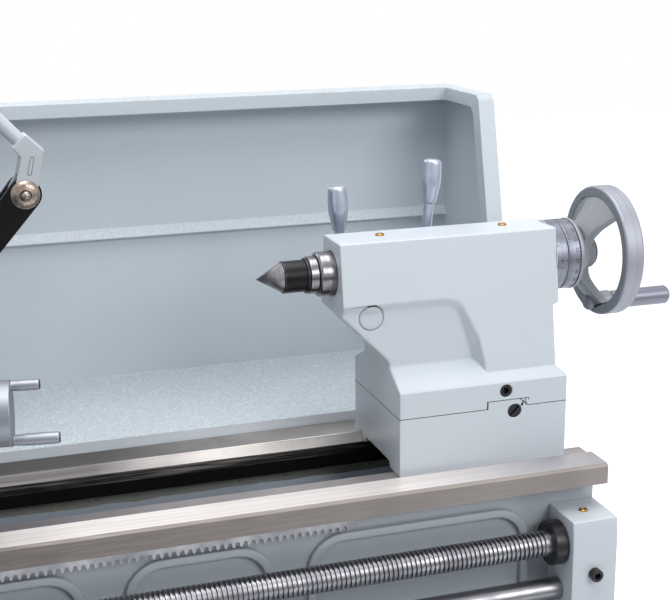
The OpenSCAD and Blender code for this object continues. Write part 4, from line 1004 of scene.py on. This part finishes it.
seam = Maker(tail)
HALF_LINE = 0.3
for x0, x1, z in ((0.2, 78.4, SEAM_Z), (78.2, 115.6, SEAM_TOP), (115.4, LENGTH - 0.2, SEAM_Z)):
    seam.slab((x0, FRONT_Y - 0.03, z - HALF_LINE), (x1, FRONT_Y + 1, z + HALF_LINE))
for x, z0, z1 in ((78.3, SEAM_Z, SEAM_TOP), (115.6, SEAM_TOP - 2.2, SEAM_TOP)):
    seam.slab((x - HALF_LINE, FRONT_Y - 0.04, z0), (x + HALF_LINE, FRONT_Y + 1, z1))
seam.prism([(106.8, SEAM_TOP), (107.8, SEAM_TOP), (116.1, SEAM_Z), (115.1, SEAM_Z)], 1,
           FRONT_Y - 0.05, FRONT_Y + 1)
seam.slab((-0.03, FRONT_Y + 0.2, SEAM_Z - HALF_LINE), (1, REAR_Y - 0.2, SEAM_Z + HALF_LINE))
seam.slab((LENGTH - 1, FRONT_Y + 0.2, SEAM_Z - HALF_LINE), (LENGTH + 0.03, REAR_Y - 0.2, SEAM_Z + HALF_LINE))
seam.slab((0.2, REAR_Y - 1, SEAM_Z - HALF_LINE), (LENGTH - 0.2, REAR_Y + 0.03, SEAM_Z + HALF_LINE))
seam.done("tail_seam", "seam_black", "tail_base")

# %% Tailstock fittings
fittings = Maker(tail)
for x, y in ((1.8, -0.5), (113.4, 2.2)):
    fittings.oiler((x, y, 193.8))
fittings.done("tail_oilers", "brass bright_steel", "tail_body")

DIAL_R = 30.2


def round_dial(turn, x):
    """Lays marks round the tailstock's axis; u goes round, v along it to the wheel."""
    def lay(u, v, w):
        angle = turn + u / DIAL_R
        return tail(x + v, -(DIAL_R + w) * sin(angle), CENTRE_HEIGHT + (DIAL_R + w) * cos(angle))
    return lay


marks = Maker(tail)
marks.dial(100, round_dial, 0.16, (2.6, 3.8, 4.6), 162.0, 169.6, height=3.1)
marks.done("tail_dial_marks", "dark_marks", "tail_dial")

index = Maker(tail)
INDEX_TURN, SPOT_STEPS = 1.54, 14
index.bar_mark(-0.15, 0.15, 2.2, 5.0, round_dial(INDEX_TURN, 155.6))
angles = [2 * pi * step / SPOT_STEPS for step in range(SPOT_STEPS)]
index.plate([(0.95 * cos(t), 0.95 * sin(t)) for t in angles], [list(range(SPOT_STEPS))],
            round_dial(INDEX_TURN, 155.0), 1, 0.08, 0.3)
index.done("tail_index", "dark_marks red_point", "tail_body")

hub = Maker(tail)
hub.turned((196.4, 0, CENTRE_HEIGHT), RIGHT, [(0, 0), (0, 12.6), (1.6, 12.2), (2.6, 10.8), (2.8, 0)], 0, 40)
hub.solid((195.6, 2.7, 118), RIGHT, [(0, 4.4), (0.8, 5.8), (2.4, 7.0), (5, 7.7), (9.6, 7.9)], 2, 36)
hub.solid((203.6, 15.1, CENTRE_HEIGHT - 48.4), RIGHT, [(0, 2.2), (4.8, 2.2)], 0, 20)
hub.turned((176.6, 0, CENTRE_HEIGHT), RIGHT, ring(DIAL_R - 3.9, 0.5, DIAL_R - 4.4), 1, 48)
hub.done("tail_hub_cap", "black_plastic dark_marks cast_aluminium", "tail_handwheel")

sleeve = Maker(tail)
for x, profile in ((-9.6, [(0, 13.2), (0, 14.1), (0.4, 14.5), (1.8, 14.5), (2.2, 14.1), (2.2, 13.2)]),
                   (-28.75, [(0, 12.3), (0, 12.9), (0.35, 13.25), (1.2, 13.25), (1.2, 12.3)])):
    sleeve.turned((QUILL_FACE + x, 0, CENTRE_HEIGHT), RIGHT, profile, 0, 48)
sleeve.done("centre_sleeve_rings", "black_oxide", "centre_shank")
print("tailstock pieces:", made)

# %% [markdown]
# ## The bed
# The surfaces of the bed look different though they are one casting: bright ground ways that
# turn duller or brighter along the bed, a dull front flank, the gap, brushed black long ago,
# and the wall under the rear way, where old paint ends in a ragged line above clean enamel.
# Much of this is painted light: the front way's near-white tone is a painted highlight, the
# changes along the bed are painted reflection and shade, the gap's lower walls are painted near
# black as the gap's shade, and the sides carry a darker copy of the enamel as painted shade.

# %% Bed surfaces
REAR_FLAT, FLANK, GAP, PAINT, FRONT_FLAT, WALL, FRONT_WAY, VEE, OLD_PAINT = range(9)
BED_COATS = "rear_flat way_flank gap_black bed_enamel front_flat brushed_black front_way rear_vee old_paint"


def split_bed(bm):
    for z in (-8.6, -14.4):
        bmesh.ops.bisect_plane(bm, geom=bm.verts[:] + bm.edges[:] + bm.faces[:], plane_co=at(0, 0, z),
                               plane_no=UP)


def bed_pick(m, n):
    if m.x > BED_LENGTH - 0.5 and n.x > 0.9 and m.z < -15:
        return PAINT
    if -0.6 < m.z and n.z > 0.4:
        if m.y > 0:
            return VEE if n.y < -0.3 else REAR_FLAT
        return FRONT_FLAT if m.y > -60.7 else FLANK if n.y < -0.4 else FRONT_WAY
    if 49 < m.y < 52 and n.y < -0.9 and m.z < -20 and m.x > 410:
        return OLD_PAINT
    if -39.4 < m.y < 36.2 and m.z < 0.5 and m.x > 410:
        return WALL if m.y > 35 and m.z > -8.7 else GAP
    if m.z > -14.8 and (m.x < 1 or m.x > BED_LENGTH - 1 or m.y < -62 or m.y > 35):
        return FLANK
    return PAINT


softened("bed", BED_COATS, 0.4, bed_pick, prepare=split_bed)

# %% Raised panels of the bed's sides
panels = Maker()
for x0, x1 in ((32, 144), *((150 * bay + 24, 150 * bay + 144) for bay in range(1, 8)), (1222, 1418)):
    for low, high in ((-70.2, -64.9), (64.9, 70.2)):
        panels.frame(rounded(x0, -252, x1, -34, 30, 6), rounded(x0 + 7, -245, x1 - 7, -41, 24, 6), 1,
                     low, high)
panels.done("bed_side_panels", "bed_enamel", "bed", width=1.6)
print("bed finished in", len(BED_COATS.split()), "surfaces")

# %% [markdown]
# ## Screws, shafts and the end bracket
# The leadscrew's thread is a real trapezoidal helix. The two rods below it stay plain, and all
# three end in the bracket behind black caps.

# %% Leadscrew
THREAD_PITCH, TURN_STEPS = 4.0, 20
X_START, X_END = 406.0, 1424.0
LEAD_Y, LEAD_Z = -87.0, -62.0
CREST, ROOT = 11.0, 9.2
thread = Maker()
total = int((X_END - X_START) / THREAD_PITCH * TURN_STEPS)
rows = []
for step in range(total + 1):
    turn = 2 * pi * step / TURN_STEPS
    x0, c, s = X_START + THREAD_PITCH * step / TURN_STEPS, cos(turn), sin(turn)
    rows.append([thread.corner(x0 + THREAD_PITCH * along, LEAD_Y + r * c, LEAD_Z + r * s)
                 for along, r in ((0.0, ROOT), (0.30, ROOT), (0.42, CREST), (0.88, CREST))])
for step in range(total):
    here, after = rows[step:step + 2]
    for part in range(3):
        thread.face([here[part], after[part], after[part + 1], here[part + 1]], 0)
    if step + TURN_STEPS < total:
        thread.face([here[3], after[3], rows[step + TURN_STEPS + 1][0], rows[step + TURN_STEPS][0]], 0)
for x0, x1, radius in ((364.2, 408, 10.95), (1421, 1427.2, 10.95), (1438.2, 1478, 8)):
    thread.solid((x0, LEAD_Y, LEAD_Z), RIGHT,
                 [(0, radius - 0.5), (0.5, radius), (x1 - x0 - 0.5, radius), (x1 - x0, radius - 0.5)])
thread.solid((1426.7, LEAD_Y, LEAD_Z), RIGHT, [(0, 18.2), (0.8, 19), (10.8, 19), (11.6, 18.2)], 1, 40)
thread.done("leadscrew_finished", "plain_steel black_oxide", "leadscrew", ("leadscrew",))

# %% End bracket
bracket = Maker()
bracket.oiler((1458.7, -88.5, -36.3))
bracket.screws((1459,), -111, (-84, -126), FRONT, 11, 2)
for z, radius in ((-62, 11), (-105, 10), (-145, 9)):
    bracket.solid((1479.7, LEAD_Y, z), RIGHT, [(-1.6, radius), (0.1, radius), (0.25, radius - 0.3)], 2)
bracket.done("bracket_fittings", "brass bright_steel black_oxide", "end_bracket")
print("leadscrew turns:", int((X_END - X_START) / THREAD_PITCH))

# %% [markdown]
# ## The lamp and the top slide's wheel
# What the photograph cuts off at its left edge is finished all the same: the ends of the drum's
# two handles have black caps, the lamp's pivot has a domed rivet, and its head a reflector.


# %% Lamp and top slide
SLIDE_TURN = radians(-8)


def slide_place(x, y, z):
    """Counts points from the top slide's wheel, in the slide's own direction."""
    return at(TAIL_X - 308.3 + x * cos(SLIDE_TURN) - y * sin(SLIDE_TURN),
              -93.7 + x * sin(SLIDE_TURN) + y * cos(SLIDE_TURN), z)


caps = Maker(slide_place)
for x, y, z, radius in ((20.1, 2, 127.3, 3.0), (31.9, -3, 88.3, 3.5)):
    caps.solid((x - 0.9, y, z), RIGHT, [(0, radius + 0.35), (0.9, radius + 0.35), (1.3, radius - 0.2)], 0, 28)
caps.done("drum_handle_caps", "black_plastic", "top_wheel")

rivet = Maker(tail)
rivet.turned((PIVOT_X, LAMP_Y - 17.4, PIVOT_Z), FRONT, ring(5.0, 0.7, 4.3), 1, 32)
rivet.turned((PIVOT_X, LAMP_Y - 20.7, PIVOT_Z), FRONT,
             [(0, 0), (0, 4.0), (1.0, 3.4), (1.8, 2.1), (2.1, 0)], 0, 28)
rivet.done("lamp_rivet", "nickel dark_marks", "lamp_elbow")

ELBOW_X, ELBOW_Z, LEG_HALF = -262.2, 257.2, 9.3
LEG_TURN, BEND = radians(13.8), radians(-55.8)
elbow = Maker(lambda u, y, v: tail(ELBOW_X + u * cos(LEG_TURN) + v * sin(LEG_TURN), y,
                                   ELBOW_Z - u * sin(LEG_TURN) + v * cos(LEG_TURN)))
outline = [(-LEG_HALF, -4.92), (-LEG_HALF, -19.9), (LEG_HALF, -19.9)]
for u, v in ((LEG_HALF, -4.92), (8.3, 13), (7.9, 15.8), (-7.9, 15.8), (-8.3, 13)):
    outline.append((u * cos(BEND) + v * sin(BEND), v * cos(BEND) - u * sin(BEND)))
elbow.prism([(u * 1.006, v * 1.006) for u, v in outline], 1, 124.76, 136)
elbow.done("lamp_elbow_front", "lamp_enamel", "lamp_elbow", width=1.8)
leg = Maker(elbow.place)
leg.prism([(-LEG_HALF, -17.5), (-LEG_HALF, -34.5), (LEG_HALF, -34.5), (LEG_HALF, -17.5)], 1, 124.75, 124.95)
leg.frame(rounded(-1.6, -18, 1.8, -1.5, 1.6), rounded(-1.2, -17.5, 1.4, -2.0, 1.2), 1, 124.9, 124.7, 1)
leg.done("lamp_leg_front", "lamp_enamel seam_black", "lamp_elbow")

# %% Reflector and tube of the lamp
lamp_matrix = Matrix.Translation((ELBOW_X, LAMP_Y, ELBOW_Z))
for turn, axis, shift in ((-42, "Y", 260), (40, "Z", -9), (-90, "Y", 0)):
    lamp_matrix @= Matrix.Rotation(radians(turn), 4, axis) @ Matrix.Translation((0, 0, shift))
shine = Maker(lambda x, y, z: tail(*(lamp_matrix @ Vector((x, y, z)))))
MIDDLE = (0, 0, 0)
shine.turned(MIDDLE, UP, [(39, 4), (39.6, 28), (88.2, 43.2), (88.2, 42.6), (40.4, 27.4), (39.8, 4)], 0, 48)
shine.solid(MIDDLE, UP, [(40, 9), (50, 9.4)], 1, 24)
shine.turned(MIDDLE, UP, [(49.9, 0), (49.9, 9), (56, 13), (62, 16), (69, 17.4), (76, 15.6), (82, 10),
                          (84.6, 0)], 2, 28)
shine.turned(MIDDLE, UP, [(96.4, 43.9), (96.4, 47), (98, 47), (98, 43.9)], 3, 48)
for turn in range(0, 360, 30):
    c, s = cos(radians(turn)), sin(radians(turn))
    shine.solid((18.5 * c, 18.5 * s, 21.6), (c, s, -0.9), [(0, 1.8), (1.4, 1.8)], 3, 14)
shine.done("lamp_reflector", "satin_aluminium lamp_enamel lamp_glass black_enamel", "lamp_head")
print("lamp pieces ready")

# %% [markdown]
# ## The headstock end
# The photograph stops before the carriage. The rest is known only from how such lathes are made,
# so it carries the usual fittings with plain figures: air slots on the gear cover, number rings
# behind the speed levers, switches on the control box and dials on the gearbox.


# %% Gear cover
def sink_panel(bm):
    """Presses a shallow panel into the cover's left side."""
    bm.normal_update()
    outside = at(-117, 0, 0).x
    side = [face for face in bm.faces if face.normal.x < -0.99 and face.calc_center_median().x < outside]
    bmesh.ops.inset_region(bm, faces=side, thickness=17 * MM, depth=-1.5 * MM)


def on_dial(x, y, z, turn, reach):
    """Lays figures on a dial that faces the front; u goes round and v outward from the reach."""
    along, out = (cos(turn), -sin(turn)), (sin(turn), cos(turn))
    return lambda u, v, w: at(x + u * along[0] + (reach + v) * out[0], y - w,
                              z + u * along[1] + (reach + v) * out[1])


softened("gear_cover", "machine_enamel", 3.0, prepare=sink_panel)
cover = Maker()
for row in range(9):
    z = -310 - 20 * row
    cover.prism([(-116.6, z), (-117.9, z - 1.6), (-117.9, z - 4.6), (-116.6, z - 9)], 1, -70, 84, 0)
    # Painted shade: a dark strip under each louvre stands for the shade in its open slot.
    cover.slab((-116.7, -66, z - 11), (-116.4, 80, z - 8.6), 1)
for z in (250, -480):
    cover.solid((-60, -157.8, z), FRONT, [(0, 14), (2, 14), (3, 11.5), (12, 11.5), (13.4, 9.8)], 2, 36)
    cover.slab((-61, -171.5, z - 9), (-59, -171, z + 9), 3)
cover.done("cover_fittings", "machine_enamel seam_black black_plastic white_marks", "gear_cover")

# %% Headstock
head = Maker()
for x, speeds in ((120, "1 2 3 4"), (270, "80 200 520 1400")):
    head.turned((x, -149.8, 140), FRONT, ring(50, 1.0, 33), 0, 64)
    for k, speed in enumerate(speeds.split()):
        turn = radians(40 * k - 60)
        head.figures(speed, 5.6, on_dial(x, -150.8, 140, turn, 41.5), 1)
        head.bar_mark(-0.4, 0.4, -4, -1, on_dial(x, -150.8, 140, turn, 38), 1)
head.turned((200, -149.8, 60), FRONT, [(0, 13), (0, 19), (2.4, 19), (3.2, 18), (3.2, 14.6), (1.8, 13)], 2, 40)
head.solid((200, -149.8, 60), FRONT, [(0, 14), (1.6, 14)], 3)
head.slab((191, -151.6, 59.6), (209, -151.3, 60.4), 1)
head.prism(rounded(60, 60, 340, 240, 12), 1, 164.8, 168, 4)
head.screws((74, 200, 326), 168, (74, 226), REAR, 9, 5)
head.done("headstock_fittings", "satin_aluminium dark_marks brass oil_glass machine_enamel black_oxide",
          "headstock_housing")

# %% Control box
BOX_FACE, STOP_LEVEL = -168.2, 240
box = Maker()
for x in (120, 160, 200):
    box.slab((x - 0.7, -177.3, STOP_LEVEL + 0.5), (x + 0.7, -176.9, STOP_LEVEL + 6.4), 0)
    for turn in (-60, 0, 60):
        box.bar_mark(-0.5, 0.5, -1.4, 1.4, on_dial(x, BOX_FACE, STOP_LEVEL, radians(turn), 16), 0)
box.solid((244, BOX_FACE + 0.2, STOP_LEVEL), FRONT, [(0, 9.5), (2, 9.5), (2.7, 8.6)], 1, 36)
box.turned((244, BOX_FACE, STOP_LEVEL), FRONT, [(2, 0), (2, 6.8), (4.6, 5.8), (6.2, 3.4), (6.8, 0)], 2)
box.solid((300, BOX_FACE + 0.2, STOP_LEVEL), FRONT, [(0, 12), (2.4, 12), (3.2, 10.8)], 1, 36)
box.slab((299.2, -171.6, STOP_LEVEL - 5), (300.8, -171.1, STOP_LEVEL + 5), 3)
box.screws((38, 364), BOX_FACE + 0.1, (219, 261), FRONT, 5.5, 3)
box.done("switch_fittings", "white_marks bright_steel green_lens black_oxide", "control_box")

# %% Gearbox
FEEDS = (1, 1.25, 1.5, 1.75, 2, 2.5, 3, 3.5, 4, 5)
gearing = Maker()
for x in (110, 200, 290):
    gearing.solid((x, -143.8, -105), FRONT, [(0, 26), (5.8, 26), (6.8, 25), (6.8, 17), (9, 16.4), (25, 15),
                                             (27.6, 12.8)], 0, 48)
    gearing.slab((x - 0.8, -171.6, -104), (x + 0.8, -171.2, -93), 3)
    for k in range(6):
        gearing.figures(str(k + 1), 4.2, on_dial(x, -150.6, -105, radians(50 * k - 125), 21.2), 3)
gearing.prism(rounded(92, -52, 308, -20, 3), 1, -150.7, -149.8, 1)
for row, factor in enumerate((0.25, 0.5, 1)):
    for column, size in enumerate(FEEDS):
        place = on_dial(110 + 20 * column, -150.7, -27 - 9 * row, 0, 0)
        gearing.figures("%g" % (size * factor), 3.6, place, 2)
gearing.done("gearbox_dials", "black_plastic satin_aluminium dark_marks white_marks", "gearbox_housing")

# %% Cabinets, tray and feet
stand = Maker()
for x0, x1, hinge_x, lock_x in ((46, 394, 52, 374), (1106, 1434, 1112, 1414)):
    for z in (-480, -760):
        stand.solid((lock_x, -185.9, z), FRONT, [(0, 12), (2.4, 12), (3.3, 10.8)], 1, 36)
        stand.slab((lock_x - 8, -189.4, z - 0.9), (lock_x + 8, -189.0, z + 0.9), 2)
    for z in (-420, -880):
        stand.solid((hinge_x, -187.2, z), UP,
                    [(0, 4.2), (26.6, 4.2), (27, 3.4), (27.4, 4.2), (54, 4.2)], 0, 20)
    for row in range(7):
        z = -800 - 12 * row
        for wall, out, top, near, far in ((-185.8, -3.6, z, -186.4, -185.9),
                                          (204.8, 3.6, z + 400, 204.8, 205.4)):
            stand.prism([(wall, top), (wall + out, top - 2.6), (wall + out, top - 4), (wall, top - 8)], 0,
                        x0 + 70, x1 - 70, 0)
            # Painted shade: a dark strip under each louvre stands for the shade in its open slot.
            stand.slab((x0 + 72, near, top - 9.4), (x1 - 72, far, top - 7.6), 3)
    stand.frame(rounded(x0 + 14, -890, x1 - 14, -330, 10), rounded(x0 + 22, -882, x1 - 22, -338, 6), 1,
                204.8, 206.6, 0)
    stand.screws((x0 + 34, x1 - 34), 204.9, (-860, -610, -360), REAR, 9, 2)
stand.done("cabinet_fittings", "machine_enamel bright_steel black_oxide seam_black", "cabinets",
           width=0.4)

rim = Maker()
for low, high in (((6, -235), (1590, -228.6)), ((6, 278.6), (1590, 285)), ((1583.6, -235), (1590, 285)),
                  ((6, -235), (12.4, -96)), ((6, 96), (12.4, 285))):
    rim.slab((*low, -239), (*high, -232.8))
rim.done("tray_rim", "guard_enamel", "chip_tray", width=1.6)

feet = Maker()
for x in (55, 385, 1115, 1425):
    for y in (-160, 175):
        feet.turned((x, y, -942), UP,
                    [(0, 10), (0, 15), (0.8, 17.5, 6), (8, 17.5, 6), (8.6, 15), (8.6, 10)], 0, 36)
        feet.solid((x, y, -959.9), UP, [(0, 32), (0.8, 32.8), (5.4, 32.8), (6, 32)], 1, 48)
feet.done("feet_nuts", "plain_steel rubber", "levelling_feet")

# %% Apron and saddle
APRON_FACE = -166
skirt = Maker()
skirt.turned((764.8, APRON_FACE + 0.1, -92), FRONT,
             [(0, 24), (0, 36), (1.4, 36), (1.7, 35.6), (1.7, 24)], 0, 64)
skirt.dial(60, lambda turn, reach: on_dial(764.8, APRON_FACE - 1.6, -92, turn, reach), 0.18, (1.8, 3, 3),
           25, 31.6, worth=5, paint=1)
skirt.turned((830, APRON_FACE + 0.1, -150), FRONT,
             [(0, 8.6), (0, 13), (2, 13), (2.8, 12), (2.8, 9.4), (1.6, 8.6)], 2, 36)
skirt.solid((830, APRON_FACE + 0.1, -150), FRONT, [(0, 9), (1.6, 9)], 3)
skirt.hex_bolt((894, APRON_FACE + 0.1, -152), FRONT, 12, 4)
skirt.screws((716, 928), APRON_FACE + 0.1, (-24, -160), FRONT, 9, 4)
skirt.done("apron_fittings", "satin_aluminium dark_marks brass oil_glass black_oxide", "apron")

saddle = Maker()
WIPER_FRONT = [(-92, 4.2), (-60, 4.2), (-55.5, 0.6), (-50, 0.6), (-50, 26), (-92, 26)]
WIPER_REAR = [(34, 1.2), (35, 1.2), (42.6, 8.2), (46, 8.2), (53.4, 1.2), (88, 1.2), (88, 26), (34, 26)]
for x0, x1, out in ((673.7, 676.9, -1), (976.7, 979.9, 1)):
    for outline, screws in ((WIPER_FRONT, (-86, -56)), (WIPER_REAR, (40, 82))):
        saddle.prism(outline, 0, x0, x1)
        for y in screws:
            saddle.socket_screw((x0 if out < 0 else x1, y, 19), (out, 0, 0), 6, 1)
saddle.hex_bolt((730, -104, 27), UP, 14, 1)
saddle.done("saddle_wipers", "rubber black_oxide", "saddle")

# %% Slides and tool post
slide = Maker()
for y in (-100, -50, 0, 50):
    slide.socket_screw((896.7, y, 46), RIGHT, 6)
for x in (788, 880):
    slide.oiler((x, 66, 71.9), 3.4, 1, 2)
slide.done("cross_slide_fittings", "black_oxide brass bright_steel", "cross_slide")

CROSS_R, CROSS_X, CROSS_Z = 22.0, 834.8, 48.1


def round_cross(turn, y):
    """Lays marks round the cross slide's screw; u goes round, v to the front."""
    def lay(u, v, w):
        angle = turn + u / CROSS_R
        return at(CROSS_X + (CROSS_R + w) * sin(angle), y - v, CROSS_Z + (CROSS_R + w) * cos(angle))
    return lay


collar = Maker()
collar.dial(80, round_cross, 0.14, (2.4, 4, 4), -188, -195.4, every=10, worth=0.5, height=2.8)
collar.done("cross_dial_marks", "dark_marks", "cross_wheel")

SWIVEL_X, SWIVEL_R, MARK_TOP = -165.0, 56.05, 85.6
degrees = Maker(slide_place)
for count in range(-60, 61):
    turn = radians(count)
    tall = 4 if count % 10 == 0 else 2.4
    across = [(SWIVEL_X + (SWIVEL_R - deep) * sin(turn + t), -(SWIVEL_R - deep) * cos(turn + t))
              for deep, t in ((0, -0.003), (0, 0.003), (0.4, 0.003), (0.4, -0.003))]
    degrees.prism(across, 2, MARK_TOP - tall, MARK_TOP)
degrees.done("swivel_degrees", "dark_marks", "swivel_base")

gibs = Maker(slide_place)
gibs.screws((-230, -200, -170, -140, -110), -33.9, (112,), FRONT, 5)
gibs.done("top_slide_gibs", "black_oxide", "top_slide")

post = Maker(slide_place)
for x in (-214, -152):
    for y in (-26, 0, 26):
        post.solid((x, y, 186.4), UP, [(0, 5.8), (0.8, 6.7, 4), (9, 6.7, 4), (9.7, 5.8)], 0, 24)
post.done("tool_post_heads", "black_oxide", "tool_post")

# %% Chuck
chuck = Maker()
CHUCK_FACE, CHUCK_R = 506.4, 80.0
for k in range(3):
    turn = radians(30 + 120 * k)
    c, s = cos(turn), sin(turn)
    chuck.socket_screw((CHUCK_FACE - 0.1, 55 * c, CENTRE_HEIGHT + 55 * s), RIGHT, 9, 1)
    chuck.solid((472.4, 65 * c, CENTRE_HEIGHT + 65 * s), (0, c, s),
                [(0, 7.9), (12.4, 7.9), (13, 7.3), (13, 5.6, 4), (4, 5.6, 4)], 1, 24)
for x in (452.0, 461.0):
    chuck.turned((x, 0, CENTRE_HEIGHT), RIGHT, ring(CHUCK_R + 0.05, 0.7, CHUCK_R - 0.6), 2, 72)
chuck.done("chuck_fittings", "bright_steel black_oxide dark_marks", "chuck_body")
print("fittings and other pieces made from scratch:", len(made))
